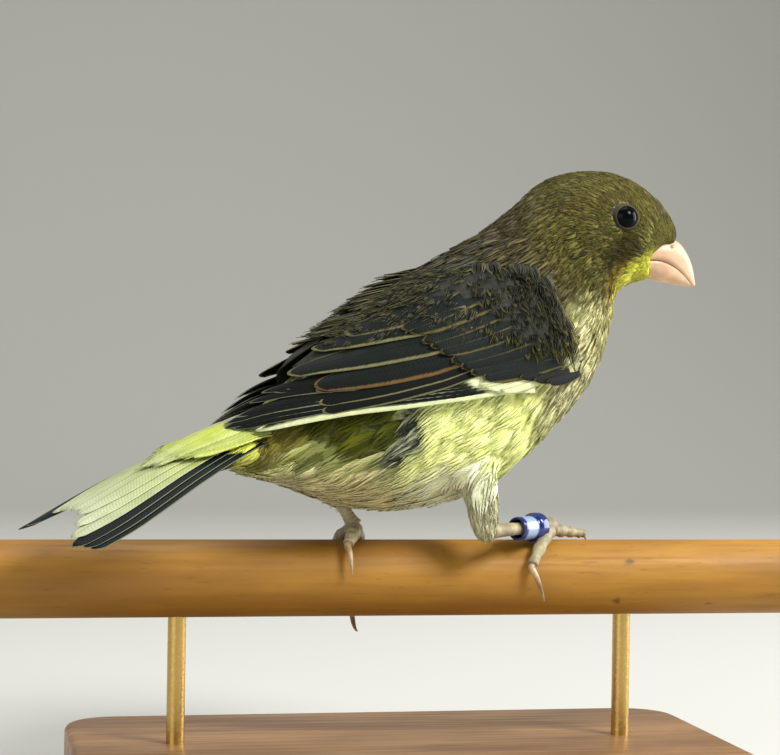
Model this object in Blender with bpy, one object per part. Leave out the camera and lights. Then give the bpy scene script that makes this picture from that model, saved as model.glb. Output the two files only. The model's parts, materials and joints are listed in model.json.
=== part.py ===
"""A small perched songbird at life size on a plain display stand, as closed solids.

Sizes are in millimetres until each node is finished. Bird frame: f forward, l to its left, z over
the perch axis. Body frame: x along the sloping body axis, y across it, both in the middle plane.
"""

import math

import bmesh
import bpy
import numpy as np
from mathutils import Matrix

MM = 0.001
GAP = 0.3
PERCH_RADIUS = 6.35
PERCH_LENGTH = 145.0
PERCH_HEIGHT = 34.0
BASE_LENGTH = 110.0
BASE_WIDTH = 58.0
BASE_HEIGHT = 7.0
ROD_RADIUS = 1.5
ROD_SPACING = 76.0
BIRD_X = 6.075
BIRD_TURN = math.radians(13.5)
BODY_PITCH = math.radians(36.0)
BODY_CENTRE_Z = 33.0
HEAD_TURN = math.radians(-17.0)
HEAD_PIVOT_F = 20.0
BODY_SIDES = 24

# x, top y, bottom y, half width of the torso and neck across the body axis
BODY = np.array([
    (-41.0, 15.0, 10.0, 5.4),
    (-36.0, 15.0, 6.6, 6.6),
    (-32.0, 15.2, 1.2, 8.2),
    (-28.0, 15.5, -4.5, 10.0),
    (-22.0, 16.1, -10.5, 12.3),
    (-14.0, 17.0, -15.4, 14.3),
    (-6.0, 18.0, -18.2, 15.4),
    (2.0, 18.4, -18.9, 15.7),
    (10.0, 17.7, -18.1, 15.4),
    (17.0, 16.8, -16.9, 14.6),
    (24.0, 16.3, -14.4, 13.3),
    (29.0, 16.5, -10.8, 12.2),
    (33.0, 17.1, -7.0, 11.5),
])
# top x, top y, bottom x, bottom y, half width of the head's ribs
HEAD = np.array([
    (33.3, 17.15, 33.3, -6.8, 11.45),
    (36.0, 17.1, 34.5, -6.3, 11.0),
    (38.7, 16.3, 35.6, -6.1, 10.5),
    (41.3, 15.1, 36.6, -6.2, 9.95),
    (43.7, 13.6, 37.5, -6.4, 9.4),
    (45.9, 11.7, 38.3, -6.6, 8.8),
    (47.7, 9.4, 39.1, -6.85, 8.05),
    (49.1, 6.6, 39.9, -7.2, 7.1),
    (50.0, 3.8, 40.7, -7.5, 6.1),
    (50.5, 1.0, 41.6, -7.8, 5.15),
    (50.4, -1.4, 42.5, -7.9, 4.4),
    (49.9, -3.4, 43.5, -7.6, 3.8),
])
# x, top y, bottom y, half width of the sheet on which the folded wings lie
WING_SHEET = np.array([
    (-50.0, 15.4, 2.0, 5.2),
    (-41.0, 16.1, 0.0, 7.0),
    (-36.0, 16.8, -1.6, 8.2),
    (-30.0, 17.7, -4.5, 10.0),
    (-22.0, 18.4, -11.0, 12.6),
    (-14.0, 18.2, -15.7, 14.7),
    (-6.0, 18.5, -18.5, 15.8),
    (2.0, 18.7, -19.2, 16.1),
    (10.0, 18.1, -18.4, 15.8),
    (17.0, 17.2, -17.2, 15.0),
    (24.0, 16.6, -14.7, 13.7),
])
BODY_POWER = 2.15
EYE_F = 31.1
EYE_Z = 61.0
EYE_RADIUS = 2.2
EYE_DEPTH = 1.2
LID_RADIUS = 2.4
LID_BULGE = 0.42
TAIL_ROOT_F = -31.0
TAIL_ROOT_Z = 24.6
TAIL_PITCH = math.radians(18.5)
TAIL_CURVE = math.radians(6.0)
TAIL_ROLL = math.radians(7.0)
TAIL_TURN = math.radians(14.0)
TAIL_LENGTH = 43.0
TAIL_NOTCH = 5.6


def lookup(table: np.ndarray, x: float) -> np.ndarray:
    """Row of the table at x, smooth between its rows (first column is x)."""
    xs = table[:, 0]
    x = min(max(x, xs[0]), xs[-1])
    k = int(min(max(np.searchsorted(xs, x) - 1, 0), len(xs) - 2))
    slopes = np.gradient(table[:, 1:], xs, axis=0)
    span = xs[k + 1] - xs[k]
    u = (x - xs[k]) / span
    a, b = table[k, 1:], table[k + 1, 1:]
    return (
        (2 * u**3 - 3 * u**2 + 1) * a
        + (u**3 - 2 * u**2 + u) * span * slopes[k]
        + (3 * u**2 - 2 * u**3) * b
        + (u**3 - u**2) * span * slopes[k + 1]
    )


def bird_point(x: float, y: float, l: float) -> np.ndarray:
    """Body frame to bird frame."""
    f = x * math.cos(BODY_PITCH) - y * math.sin(BODY_PITCH)
    z = BODY_CENTRE_Z + x * math.sin(BODY_PITCH) + y * math.cos(BODY_PITCH)
    return np.array([f, l, z])


def body_point(f: float, z: float) -> tuple:
    """Bird frame to body frame."""
    z = z - BODY_CENTRE_Z
    x = f * math.cos(BODY_PITCH) + z * math.sin(BODY_PITCH)
    return x, -f * math.sin(BODY_PITCH) + z * math.cos(BODY_PITCH)


def turned(point: np.ndarray, share: float) -> np.ndarray:
    """Turns a bird point round the upright line through the neck by a share of the head's turn."""
    angle = HEAD_TURN * share
    f = point[0] - HEAD_PIVOT_F
    c, s = math.cos(angle), math.sin(angle)
    return np.array([HEAD_PIVOT_F + f * c - point[1] * s, f * s + point[1] * c, point[2]])


def turn_share(x: float) -> float:
    u = min(max((x - 22.0) / 16.0, 0.0), 1.0)
    return u * u * (3 - 2 * u)


def world_point(p: np.ndarray) -> np.ndarray:
    """Bird frame to the model's frame, in millimetres."""
    c, s = math.cos(BIRD_TURN), math.sin(BIRD_TURN)
    return np.array([BIRD_X + p[0] * c - p[1] * s, p[0] * s + p[1] * c, PERCH_HEIGHT + p[2]])


def section(top: np.ndarray, bottom: np.ndarray, half: float, power: float, sides: int) -> list:
    """Ring of points in the plane of the rib from top to bottom and the sideways direction."""
    middle = (top + bottom) / 2
    arm = (top - bottom) / 2
    ring = []
    for i in range(sides):
        t = 2 * math.pi * i / sides
        c, s = math.cos(t), math.sin(t)
        up = math.copysign(abs(c) ** (2 / power), c)
        out = math.copysign(abs(s) ** (2 / power), s)
        ring.append(middle + arm * up + np.array([0.0, -half * out, 0.0]))
    return ring


def body_ring(x: float, grow: float = 0.0) -> list:
    top, bottom, half = lookup(BODY, x)
    ring = section(
        bird_point(x, top + grow, 0), bird_point(x, bottom - grow, 0), half + grow, BODY_POWER, BODY_SIDES
    )
    share = turn_share(x)
    return [turned(p, share) for p in ring]


def head_ring(row: np.ndarray, grow: float = 0.0) -> list:
    top = bird_point(row[0], row[1] + grow, 0)
    bottom = bird_point(row[2], row[3] - grow, 0)
    ring = section(top, bottom, row[4] + grow, 2.1, BODY_SIDES)
    share = turn_share((row[0] + row[2]) / 2 + 2.0) if row[0] > 33.4 else turn_share(row[0])
    return [turned(p, share) for p in ring]


def solid(name: str, points: list, faces: list) -> bpy.types.Object:
    """Mesh object of bird-frame or model-frame points, faces turned outward."""
    mesh = bpy.data.meshes.new(name)
    mesh.from_pydata([tuple(map(float, p)) for p in points], [], faces)
    obj = bpy.data.objects.new(name, mesh)
    bpy.context.scene.collection.objects.link(obj)
    bm = bmesh.new()
    bm.from_mesh(mesh)
    bmesh.ops.triangulate(bm, faces=[f for f in bm.faces if len(f.verts) > 4])
    bmesh.ops.recalc_face_normals(bm, faces=bm.faces)
    bm.to_mesh(mesh)
    bm.free()
    return obj


def loft(name: str, rings: list) -> bpy.types.Object:
    """Closed tube through rings of equal count, with a fan of triangles at each end."""
    n = len(rings[0])
    points = [p for ring in rings for p in ring]
    faces = []
    for k in range(len(rings) - 1):
        for i in range(n):
            j = (i + 1) % n
            a, b, c, d = k * n + i, k * n + j, (k + 1) * n + j, (k + 1) * n + i
            faces += [(a, b, c), (a, c, d)]
    for k in (0, len(rings) - 1):
        points.append(sum(rings[k]) / n)
        hub = len(points) - 1
        faces += [(hub, k * n + i, k * n + (i + 1) % n) for i in range(n)]
    return solid(name, points, faces)


def slab(name: str, rows: list, thickness: float, place) -> bpy.types.Object:
    """Thin plate over rows of (u, v, height) points, cut into triangles alike on both faces."""
    k, m = len(rows), len(rows[0])
    upper = [place(*p) for row in rows for p in row]
    lower = [place(p[0], p[1], p[2] - thickness) for row in rows for p in row]
    faces = []
    for i in range(k - 1):
        for j in range(m - 1):
            a, b = i * m + j, i * m + j + 1
            c, d = (i + 1) * m + j + 1, (i + 1) * m + j
            for tri in ((a, b, c), (a, c, d)) if j % 2 == 0 else ((a, b, d), (b, c, d)):
                faces += [tri, tuple(k * m + q for q in reversed(tri))]
    rim = [j for j in range(m)]
    rim += [i * m + m - 1 for i in range(1, k)]
    rim += [(k - 1) * m + j for j in range(m - 2, -1, -1)]
    rim += [i * m for i in range(k - 2, 0, -1)]
    for a, b in zip(rim, rim[1:] + rim[:1]):
        faces += [(a, b, k * m + b), (a, k * m + b, k * m + a)]
    return solid(name, upper + lower, faces)


def tube(name: str, path: list, radii: list, sides: int, flat: float = 1.0) -> bpy.types.Object:
    """Closed tube of round sections along a path; flat squashes it along the third direction."""
    path = [np.array(p, float) for p in path]
    rings = []
    side = None
    for k, p in enumerate(path):
        along = path[min(k + 1, len(path) - 1)] - path[max(k - 1, 0)]
        along = along / np.linalg.norm(along)
        if side is None:
            seed = np.array([1.0, 0.0, 0.0]) if abs(along[0]) < 0.8 else np.array([0.0, 1.0, 0.0])
            side = np.cross(along, seed)
        side = side - along * (side @ along)
        side = side / np.linalg.norm(side)
        third = np.cross(along, side)
        rings.append([
            p + radii[k] * (math.cos(a) * side + flat * math.sin(a) * third)
            for a in (2 * math.pi * i / sides for i in range(sides))
        ])
    return loft(name, rings)


def ball(name: str, centre: np.ndarray, radius: float, columns: int = 16, rows: int = 10) -> bpy.types.Object:
    bm = bmesh.new()
    bmesh.ops.create_uvsphere(bm, u_segments=columns, v_segments=rows, radius=radius)
    bmesh.ops.translate(bm, verts=bm.verts, vec=tuple(centre))
    mesh = bpy.data.meshes.new(name)
    bm.to_mesh(mesh)
    bm.free()
    obj = bpy.data.objects.new(name, mesh)
    bpy.context.scene.collection.objects.link(obj)
    return obj


def drop(obj: bpy.types.Object) -> None:
    mesh = obj.data
    bpy.data.objects.remove(obj)
    bpy.data.meshes.remove(mesh)


def combine(obj: bpy.types.Object, others: list, how: str, flat: float = 0.6, sliver: float = 0.0) -> None:
    """One Boolean of obj with all the others, applied; the others are removed."""
    group = bpy.data.collections.new("operands")
    bpy.context.scene.collection.children.link(group)
    for other in others:
        group.objects.link(other)
    modifier = obj.modifiers.new("combine", "BOOLEAN")
    modifier.operation = how
    modifier.operand_type = "COLLECTION"
    modifier.collection = group
    modifier.solver = "MANIFOLD"
    bpy.context.view_layer.update()
    graph = bpy.context.evaluated_depsgraph_get()
    made = bpy.data.meshes.new_from_object(obj.evaluated_get(graph))
    obj.modifiers.clear()
    old = obj.data
    obj.data = made
    bpy.data.meshes.remove(old)
    for other in others:
        drop(other)
    bpy.data.collections.remove(group)
    keep_largest(obj, flat, sliver)


def keep_largest(obj: bpy.types.Object, flat: float = 0.6, sliver: float = 0.0) -> None:
    """Welds, clears triangles thinner than sliver, and keeps the closed surface of the greatest volume."""
    bm = bmesh.new()
    bm.from_mesh(obj.data)
    bmesh.ops.remove_doubles(bm, verts=bm.verts, dist=0.002)
    bmesh.ops.dissolve_degenerate(bm, dist=0.001, edges=bm.edges)
    bmesh.ops.dissolve_limit(bm, angle_limit=math.radians(flat), verts=bm.verts, edges=bm.edges)
    bmesh.ops.triangulate(bm, faces=bm.faces)
    for _ in range(3 if sliver else 0):
        bmesh.ops.dissolve_degenerate(bm, dist=sliver, edges=bm.edges)
        bmesh.ops.triangulate(bm, faces=bm.faces)
    left = set(bm.verts)
    shells = []
    while left:
        stack = [left.pop()]
        shell = set(stack)
        while stack:
            for edge in stack.pop().link_edges:
                for v in edge.verts:
                    if v in left:
                        left.discard(v)
                        shell.add(v)
                        stack.append(v)
        shells.append(shell)
    if len(shells) > 1:
        def volume(shell: set) -> float:
            faces = {f for v in shell for f in v.link_faces}
            total = 0.0
            for f in faces:
                a, b, c = (v.co for v in f.verts)
                total += a.dot(b.cross(c))
            return abs(total)
        shells.sort(key=volume)
        spare = [v for shell in shells[:-1] for v in shell]
        bmesh.ops.delete(bm, geom=spare, context="VERTS")
    bm.to_mesh(obj.data)
    bm.free()


def place_bird(objects: list) -> None:
    """Moves finished bird-frame solids to the model's frame."""
    turn = Matrix.Translation((BIRD_X, 0, PERCH_HEIGHT)) @ Matrix.Rotation(BIRD_TURN, 4, "Z")
    for obj in objects:
        obj.data.transform(turn)


def finish(obj: bpy.types.Object, colour: tuple, roughness: float) -> bpy.types.Object:
    """Scales a node to metres and gives it its own material."""
    obj.data.transform(Matrix.Scale(MM, 4))
    material = bpy.data.materials.new(obj.name + "_finish")
    material.use_nodes = True
    shader = material.node_tree.nodes["Principled BSDF"]
    shader.inputs["Base Color"].default_value = (*colour, 1.0)
    shader.inputs["Roughness"].default_value = roughness
    obj.data.materials.clear()
    obj.data.materials.append(material)
    return obj


def body_span(name: str, start: float, end: float, step: float, grow: float = 0.0) -> bpy.types.Object:
    count = max(2, int(round((end - start) / step)))
    return loft(name, [body_ring(start + (end - start) * k / count, grow) for k in range(count + 1)])


_sheet_cache: dict = {}


def sheet_section(x: float) -> tuple:
    """Arc lengths from the back's middle line and the section's points at x."""
    key = round(x, 2)
    if key not in _sheet_cache:
        top, bottom, half = lookup(WING_SHEET, key)
        middle, arm = (top + bottom) / 2, (top - bottom) / 2
        t = np.linspace(0, math.pi, 97)
        y = middle + arm * np.sign(np.cos(t)) * np.abs(np.cos(t)) ** (2 / BODY_POWER)
        w = half * np.abs(np.sin(t)) ** (2 / BODY_POWER)
        arc = np.concatenate([[0], np.cumsum(np.hypot(np.diff(y), np.diff(w)))])
        _sheet_cache[key] = (arc, y, w)
    return _sheet_cache[key]


def sheet_flat(x: float, s: float) -> np.ndarray:
    arc, y, w = sheet_section(x)
    return np.array([x, np.interp(s, arc, y), np.interp(s, arc, w)])


def sheet_point(x: float, s: float, h: float, side: float) -> np.ndarray:
    """Point of the wing sheet at x, s along the section, h over it; side -1 is the right wing."""
    p = sheet_flat(x, s)
    dx = sheet_flat(x + 0.5, s) - sheet_flat(x - 0.5, s)
    ds = sheet_flat(x, s + 0.6) - sheet_flat(x, max(s - 0.6, 0.0))
    normal = np.cross(dx, ds)
    normal = normal / np.linalg.norm(normal)
    if normal[1] * 0.5 + normal[2] < 0:
        normal = -normal
    q = p + normal * h
    return bird_point(q[0], q[1], side * q[2])


def off_middle(s: float) -> float:
    """Keeps a wing point clear of the back's middle line."""
    return s if s > 2.6 else 0.55 + 2.05 * math.exp((s - 2.6) / 2.05)


def wing_place(side: float):
    return lambda x, s, h: sheet_point(x, off_middle(s), h + 0.25, side)


def vane_rows(base: tuple, tip: tuple, half: float, heights: tuple, stations: list, bow: float, ridge: float) -> list:
    """Rows of a feather's upper face; heights are (root, tip, fall from the outer edge to the inner)."""
    base, tip = np.array(base, float), np.array(tip, float)
    along = tip - base
    length = np.linalg.norm(along)
    along = along / length
    across = np.array([-along[1], along[0]])
    if across[1] < 0:
        across = -across
    rows = []
    for u, width in stations:
        middle = base + along * length * u + across * bow * 4 * u * (1 - u)
        top = heights[0] + (heights[1] - heights[0]) * u
        row = []
        for v in (1.0, 0.0, -1.0) if ridge else (1.0, -1.0):
            q = middle + across * half * width * v
            h = top - heights[2] * (1 - v) / 2 + (ridge if v == 0.0 else 0.0)
            row.append((q[0], q[1], h))
        rows.append(row)
    return rows


FLIGHT_STATIONS = [(0.0, 0.7), (0.35, 0.95), (0.7, 1.0), (0.93, 0.7), (1.0, 0.22)]
COVERT_STATIONS = [(0.0, 0.75), (0.5, 1.0), (0.88, 0.75), (1.0, 0.25)]
LOWER_EDGE = np.array([
    (-37.0, 4.0), (-32.7, 7.2), (-27.7, 11.2), (-21.2, 16.3), (-14.7, 21.4), (-9.0, 25.4),
    (-3.2, 29.4), (1.8, 32.0), (6.9, 34.2), (11.1, 34.8), (15.0, 32.6), (17.0, 29.0),
])
UPPER_EDGE = np.array([(-37.0, 2.0), (-24.0, 1.8), (-12.0, 1.6), (0.0, 3.0), (8.0, 7.0), (14.0, 13.0), (17.0, 21.0)])
PRIMARY_TIPS = [
    (-34.6, 5.8), (-37.4, 3.0), (-36.6, 2.4), (-34.3, 2.9), (-31.6, 3.6), (-29.6, 4.6), (-27.8, 5.7),
    (-26.2, 7.0),
]
SECONDARY_TIPS = [(-22.8, 11.2), (-23.5, 9.4), (-24.0, 7.5), (-24.0, 5.7)]
TERTIALS = [((3.0, 18.8), (-23.4, 4.2), 2.1), ((4.0, 16.6), (-17.8, 4.9), 2.4), ((5.0, 14.4), (-12.2, 6.4), 2.6)]


def wing(name: str, side: float) -> bpy.types.Object:
    """One folded wing: a plate on the wing sheet and its feathers in overlapping tiers, fused."""
    place = wing_place(side)
    plate = []
    for k in range(11):
        x = -22.0 + 38.6 * k / 10
        low = np.interp(x, LOWER_EDGE[:, 0], LOWER_EDGE[:, 1]) - 0.9
        high = np.interp(x, UPPER_EDGE[:, 0], UPPER_EDGE[:, 1]) + 0.8
        plate.append([(x, high + (low - high) * j / 5, 0.75) for j in range(6)])
    feathers = []

    def add(label: str, base: tuple, tip: tuple, half: float, heights: tuple, thick: float, flight: bool) -> None:
        stations = FLIGHT_STATIONS if flight else COVERT_STATIONS
        rows = vane_rows(base, tip, half, heights, stations, 0.25, 0.0)
        feathers.append(slab(label, rows, thick, place))

    for k, tip in enumerate(PRIMARY_TIPS):
        base = (5.5 - 0.85 * k, 32.4 - 1.0 * k)
        half = 1.35 if k else 0.95
        add("primary", base, tip, half, (1.25, 1.3, 0.55), 0.7, True)
    for k, tip in enumerate(SECONDARY_TIPS):
        add("secondary", (0.5 + 0.6 * k, 24.4 - 1.5 * k), tip, 1.55, (1.35, 1.5, 0.55), 0.75, True)
    for base, tip, half in TERTIALS:
        add("tertial", base, tip, half, (1.35, 1.7, 0.6), 0.85, True)
    for k in range(7):
        u = k / 6
        tip = (-0.8 - 4.7 * (u ** 0.6), 26.6 - 13.4 * u)
        add("greater", (tip[0] + 11.0, tip[1] + 4.6 - 1.4 * u), tip, 1.5, (1.0, 1.85, 0.4), 0.9, False)
    for k in range(5):
        u = k / 4
        tip = (12.6 - 6.6 * u, 30.4 - 10.8 * u)
        add("median", (tip[0] + 5.2, tip[1] + 0.8 - 1.0 * u), tip, 1.65, (1.25, 2.15, 0.3), 1.1, False)
    for k in range(3):
        tip = (-1.6 + 2.4 * k, 27.8 + 1.8 * k)
        add("cover", (tip[0] + 9.0, tip[1] + 3.6), tip, 1.1, (1.1, 1.75, 0.35), 0.95, False)
    for k in range(1):
        tip = (4.9 + 1.8 * k, 31.0 + 1.2 * k)
        add("alula", (tip[0] + 7.0, tip[1] + 2.4), tip, 1.3, (1.35, 1.95, 0.3), 1.1, False)
    for k, tip in enumerate([(-12.0, 5.0), (-8.8, 8.2), (-5.4, 11.4), (-1.2, 14.6)]):
        add("scapular", (tip[0] + 10.5, tip[1] + 2.0), tip, 2.05, (1.1, 2.15, 0.3), 1.0, False)
    for k, tip in enumerate([(-4.0, 5.0), (0.0, 8.8), (4.4, 12.6), (8.0, 16.6), (10.6, 20.2)]):
        add("shoulder", (tip[0] + 8.6, tip[1] + 1.8), tip, 2.2, (1.2, 2.3, 0.3), 1.15, False)
    body = slab(name, plate, 0.7, place)
    combine(body, feathers, "UNION", 2.5)
    return body


def tail_place(a: float, w: float, h: float) -> np.ndarray:
    """a behind the tail's root, w to the bird's left, h over the tail's middle surface."""
    bend = TAIL_CURVE * a / TAIL_LENGTH
    pitch = TAIL_PITCH + bend / 2
    f = TAIL_ROOT_F - a * math.cos(pitch)
    z = TAIL_ROOT_Z - a * math.sin(pitch)
    up = np.array([-math.sin(TAIL_PITCH + bend), 0.0, math.cos(TAIL_PITCH + bend)])
    left = np.array([0.0, 1.0, 0.0])
    c, s = math.cos(TAIL_ROLL), math.sin(TAIL_ROLL)
    h = h - 0.010 * w * w
    q = np.array([f - TAIL_ROOT_F, 0.0, z]) + (left * c + up * s) * w + (up * c - left * s) * h
    c, s = math.cos(TAIL_TURN), math.sin(TAIL_TURN)
    return np.array([TAIL_ROOT_F + q[0] * c - q[1] * s, q[0] * s + q[1] * c, q[2]])


# a of the upper and of the lower edge, height over and under the tail's middle, half width
TAIL_COVERTS = [
    (7.0, 5.3, 2.5, -4.1, 6.85),
    (9.5, 7.5, 2.2, -3.6, 6.7),
    (14.5, 13.0, 1.6, -2.6, 6.2),
    (19.5, 19.0, 1.1, -1.9, 5.2),
    (23.0, 23.0, 0.7, -1.5, 3.4),
]


def tail() -> bpy.types.Object:
    """Twelve tail feathers in a shallow fork, fused with the coverts at their root."""
    ribs = [
        (bird_point(-33.3, lookup(BODY, -33.3)[0], 0), bird_point(-33.3, lookup(BODY, -33.3)[1], 0), lookup(BODY, -33.3)[2]),
    ]
    rings = [section(top, bottom, half, 2.1, BODY_SIDES) for top, bottom, half in ribs]
    for a_top, a_low, high, low, half in TAIL_COVERTS:
        ring = []
        for i in range(BODY_SIDES):
            t = 2 * math.pi * i / BODY_SIDES
            u = 0.5 + 0.5 * math.cos(t)
            ring.append(tail_place(a_low + (a_top - a_low) * u, -half * math.sin(t), low + (high - low) * u))
        rings.append(ring)
    body = loft("tail", rings)
    feathers = []
    for rank in range(6, 0, -1):
        for side in (1, -1):
            share = (rank - 0.5) / 5.5
            length = TAIL_LENGTH - TAIL_NOTCH * (1 - share) ** 1.3 - (0.8 if rank == 6 else 0.0)
            base = (5.0, side * 5.0 * share)
            tip = (length, side * 9.3 * share)
            top = 1.15 - 0.3 * rank + 0.75
            rows = []
            for u, width in [(0.0, 0.6), (0.3, 0.85), (0.6, 1.0), (0.84, 1.0), (0.95, 0.74), (1.0, 0.25)]:
                a = base[0] + (tip[0] - base[0]) * u
                w = base[1] + (tip[1] - base[1]) * (0.85 * u + 0.15 * u * u)
                rows.append([(a, w + v * 2.6 * width, top + (0.12 if v == 0 else 0.0)) for v in (1.0, 0.0, -1.0)])
            feathers.append(slab("rectrix", rows, 0.62, tail_place))
    combine(body, feathers, "UNION")
    return body


# top f, top z, bottom f, bottom z, half width of each half of the bill
BILL_UPPER = [
    (40.2, 58.1, 36.2, 54.35, 3.9), (42.3, 57.3, 38.6, 54.35, 3.65), (43.7, 55.8, 40.9, 53.7, 2.95),
    (44.7, 54.1, 42.9, 52.5, 2.15), (45.4, 52.3, 44.5, 51.2, 1.35), (45.9, 50.4, 45.6, 50.2, 0.5),
]
BILL_LOWER = [
    (36.2, 53.95, 37.4, 51.5, 3.75), (38.6, 53.95, 38.7, 50.85, 3.5), (40.8, 53.3, 40.8, 50.55, 2.8),
    (42.7, 52.15, 42.6, 50.25, 2.0), (44.1, 51.1, 44.1, 50.1, 1.2), (45.1, 50.35, 45.0, 50.05, 0.45),
]


def bill_half(name: str, rows: list, upper: bool, grow: float = 0.0) -> bpy.types.Object:
    """Half of the bill: an arch over, or a keel under, the line of the mouth."""
    rings = []
    for k, (ft, zt, fb, zb, half) in enumerate(rows):
        top, bottom = np.array([ft, 0.0, zt]), np.array([fb, 0.0, zb])
        rib = (top - bottom) / np.linalg.norm(top - bottom)
        top, bottom = top + rib * grow, bottom - rib * grow
        if grow and k == 0:
            top, bottom = top - np.array([grow, 0, 0]), bottom - np.array([grow, 0, 0])
        flat, peak = (bottom, top) if upper else (top, bottom)
        ring = []
        for i in range(11):
            t = math.pi * i / 10
            out = math.copysign(abs(math.cos(t)) ** 0.85, math.cos(t))
            ring.append(flat + (peak - flat) * math.sin(t) ** 0.9 + np.array([0.0, out * (half + grow), 0.0]))
        rings.append([turned(p, 1.0) for p in ring])
    return loft(name, rings)


def head_point(f: float, side: float, z: float) -> np.ndarray:
    return turned(np.array([f, side, z]), 1.0)


def head_half(f: float, z: float) -> float:
    """Half width of the head at a point of its middle plane, from its ribs."""
    x, y = body_point(f, z)
    best = (1e9, 0.0)
    for a, b in zip(HEAD[:-1], HEAD[1:]):
        for u in np.linspace(0, 1, 9):
            row = a + (b - a) * u
            top, bottom = row[0:2], row[2:4]
            rib = top - bottom
            share = float(np.clip(((x, y) - bottom) @ rib / (rib @ rib), 0, 1))
            off = float(np.linalg.norm(bottom + rib * share - (x, y)))
            if off < best[0]:
                half = row[4] * (1 - abs(2 * share - 1) ** 2.1) ** (1 / 2.1)
                best = (off, half)
    return best[1]


def head_nodes() -> list:
    rings = [head_ring(row) for row in HEAD]
    head = loft("head", rings)
    side = head_half(EYE_F, EYE_Z)
    cutters, lids, eyes = [], [], []
    for sign, name in ((-1, "eye_right"), (1, "eye_left")):
        centre = head_point(EYE_F, sign * (side - EYE_DEPTH), EYE_Z)
        eyes.append(ball(name, centre, EYE_RADIUS))
        cutters.append(ball("socket", centre, EYE_RADIUS + GAP))
        path = []
        for k in range(16):
            t = 2 * math.pi * k / 16
            f = EYE_F + LID_RADIUS * math.cos(t)
            z = EYE_Z + LID_RADIUS * math.sin(t) * 0.94
            path.append(head_point(f, sign * (head_half(f, z) + 0.05), z))
        lids.append(ring_of(path, LID_BULGE, 6))
    combine(head, lids, "UNION")
    cutters.append(bill_half("bill_space", BILL_UPPER, True, GAP))
    cutters.append(bill_half("bill_space", BILL_LOWER, False, GAP))
    combine(head, cutters, "DIFFERENCE")
    upper = bill_half("bill_upper", BILL_UPPER, True)
    nostrils = [
        tube("nostril", [head_point(41.0, s * 1.7, 57.9), head_point(40.8, s * 2.35, 56.7), head_point(40.6, s * 2.1, 56.1)], [0.42, 0.36, 0.2], 8)
        for s in (-1, 1)
    ]
    combine(upper, nostrils, "DIFFERENCE")
    return [head, upper, bill_half("bill_lower", BILL_LOWER, False), *eyes]


def ring_of(path: list, radius: float, sides: int = 8) -> bpy.types.Object:
    """Closed hoop of round section through the points."""
    n = len(path)
    centre = sum(path) / n
    points, faces = [], []
    for k, p in enumerate(path):
        out = p - centre
        out = out / np.linalg.norm(out)
        along = path[(k + 1) % n] - path[k - 1]
        third = np.cross(along / np.linalg.norm(along), out)
        points += [p + radius * (math.cos(a) * out + math.sin(a) * third) for a in (2 * math.pi * i / sides for i in range(sides))]
    for k in range(n):
        for i in range(sides):
            a, b = k * sides + i, k * sides + (i + 1) % sides
            c, d = ((k + 1) % n) * sides + (i + 1) % sides, ((k + 1) % n) * sides + i
            faces += [(a, b, c), (a, c, d)]
    return solid("hoop", points, faces)


FOOT_X = {"right": 24.9, "left": -8.9}
TOE_LIFT = 0.35
TARSUS = {
    "right": ((24.9, -0.6, 8.7), (12.2, -10.7, 8.6)),
    "left": ((-8.9, -0.2, 8.9), (-12.4, 0.4, 14.6)),
}
SHANK_RADIUS = 1.15


def perch_point(x: float, angle: float, radius: float) -> np.ndarray:
    """Point round the perch in the model's frame; angle 0 is on top, positive to the far side."""
    return np.array([x, radius * math.sin(angle), PERCH_HEIGHT + radius * math.cos(angle)])


# name: start x, end x, start angle, end of the toe, end of the claw, toe radius, x of the claw's tip
# past the toe, rise of the claw's tip off the perch
TOES = {
    "right": {
        "hind": (-0.6, -4.7, -12.0, -68.0, -116.0, 1.2, 2.1, 0.9),
        "inner": (0.6, 6.2, 3.0, 18.0, 44.0, 1.05, 2.2, 0.9),
        "middle": (0.3, 1.6, 8.0, 108.0, 146.0, 1.15, 0.4, 0.9),
        "outer": (-0.3, -2.6, 6.0, 84.0, 118.0, 1.05, -0.5, 0.9),
    },
    "left": {
        "hind": (0.0, -1.6, -12.0, -38.0, -82.0, 1.2, 0.1, 0.7),
        "inner": (-0.4, -3.2, 6.0, 80.0, 114.0, 1.05, -0.6, 0.9),
        "middle": (0.1, 0.9, 8.0, 130.0, 184.0, 1.15, 0.0, 2.0),
        "outer": (0.5, 4.2, 6.0, 84.0, 118.0, 1.05, 0.7, 0.9),
    },
}


def toe(foot: str, name: str, sizes: tuple) -> tuple:
    """A scaled toe round the perch, and its claw."""
    x0, x1, a0, a1, a2, r, drift, rise = sizes
    base = FOOT_X[foot]
    path, radii = [], []
    for k in range(11):
        u = k / 10
        thick = r * (1 - 0.32 * u) * (1.0 + 0.10 * math.cos(2 * math.pi * u * 3.0))
        lift = PERCH_RADIUS + TOE_LIFT + r * 1.13
        path.append(perch_point(base + x0 + (x1 - x0) * u, math.radians(a0 + (a1 - a0) * u), lift - 0.25 * r * u))
        radii.append(thick)
    body = tube("toe", path, radii, 8)
    heading = (path[-1] - path[-2]) / np.linalg.norm(path[-1] - path[-2])
    root = path[-1] + heading * 0.36
    claw_path, claw_radii = [root], [0.74]
    start = a1 + math.copysign(2.6, a1 - a0)
    for k in range(7):
        u = k / 6
        out = PERCH_RADIUS + TOE_LIFT + 0.2 + r * 0.75 * (1 - u) + 1.5 * math.sin(math.pi * u) * 0.5 + rise * u * u
        x = base + x1 + drift * u
        spot = perch_point(x, math.radians(start + (a2 - start) * u), out)
        if k == 0:
            shift = root + heading * 0.35 - spot
        claw_path.append(spot + shift * (1 - u) ** 1.5)
        claw_radii.append(0.62 * (1 - u) ** 0.75 + 0.12)
    claw = tube("claw_" + foot + "_" + name, claw_path, claw_radii, 6)
    return body, claw


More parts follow.
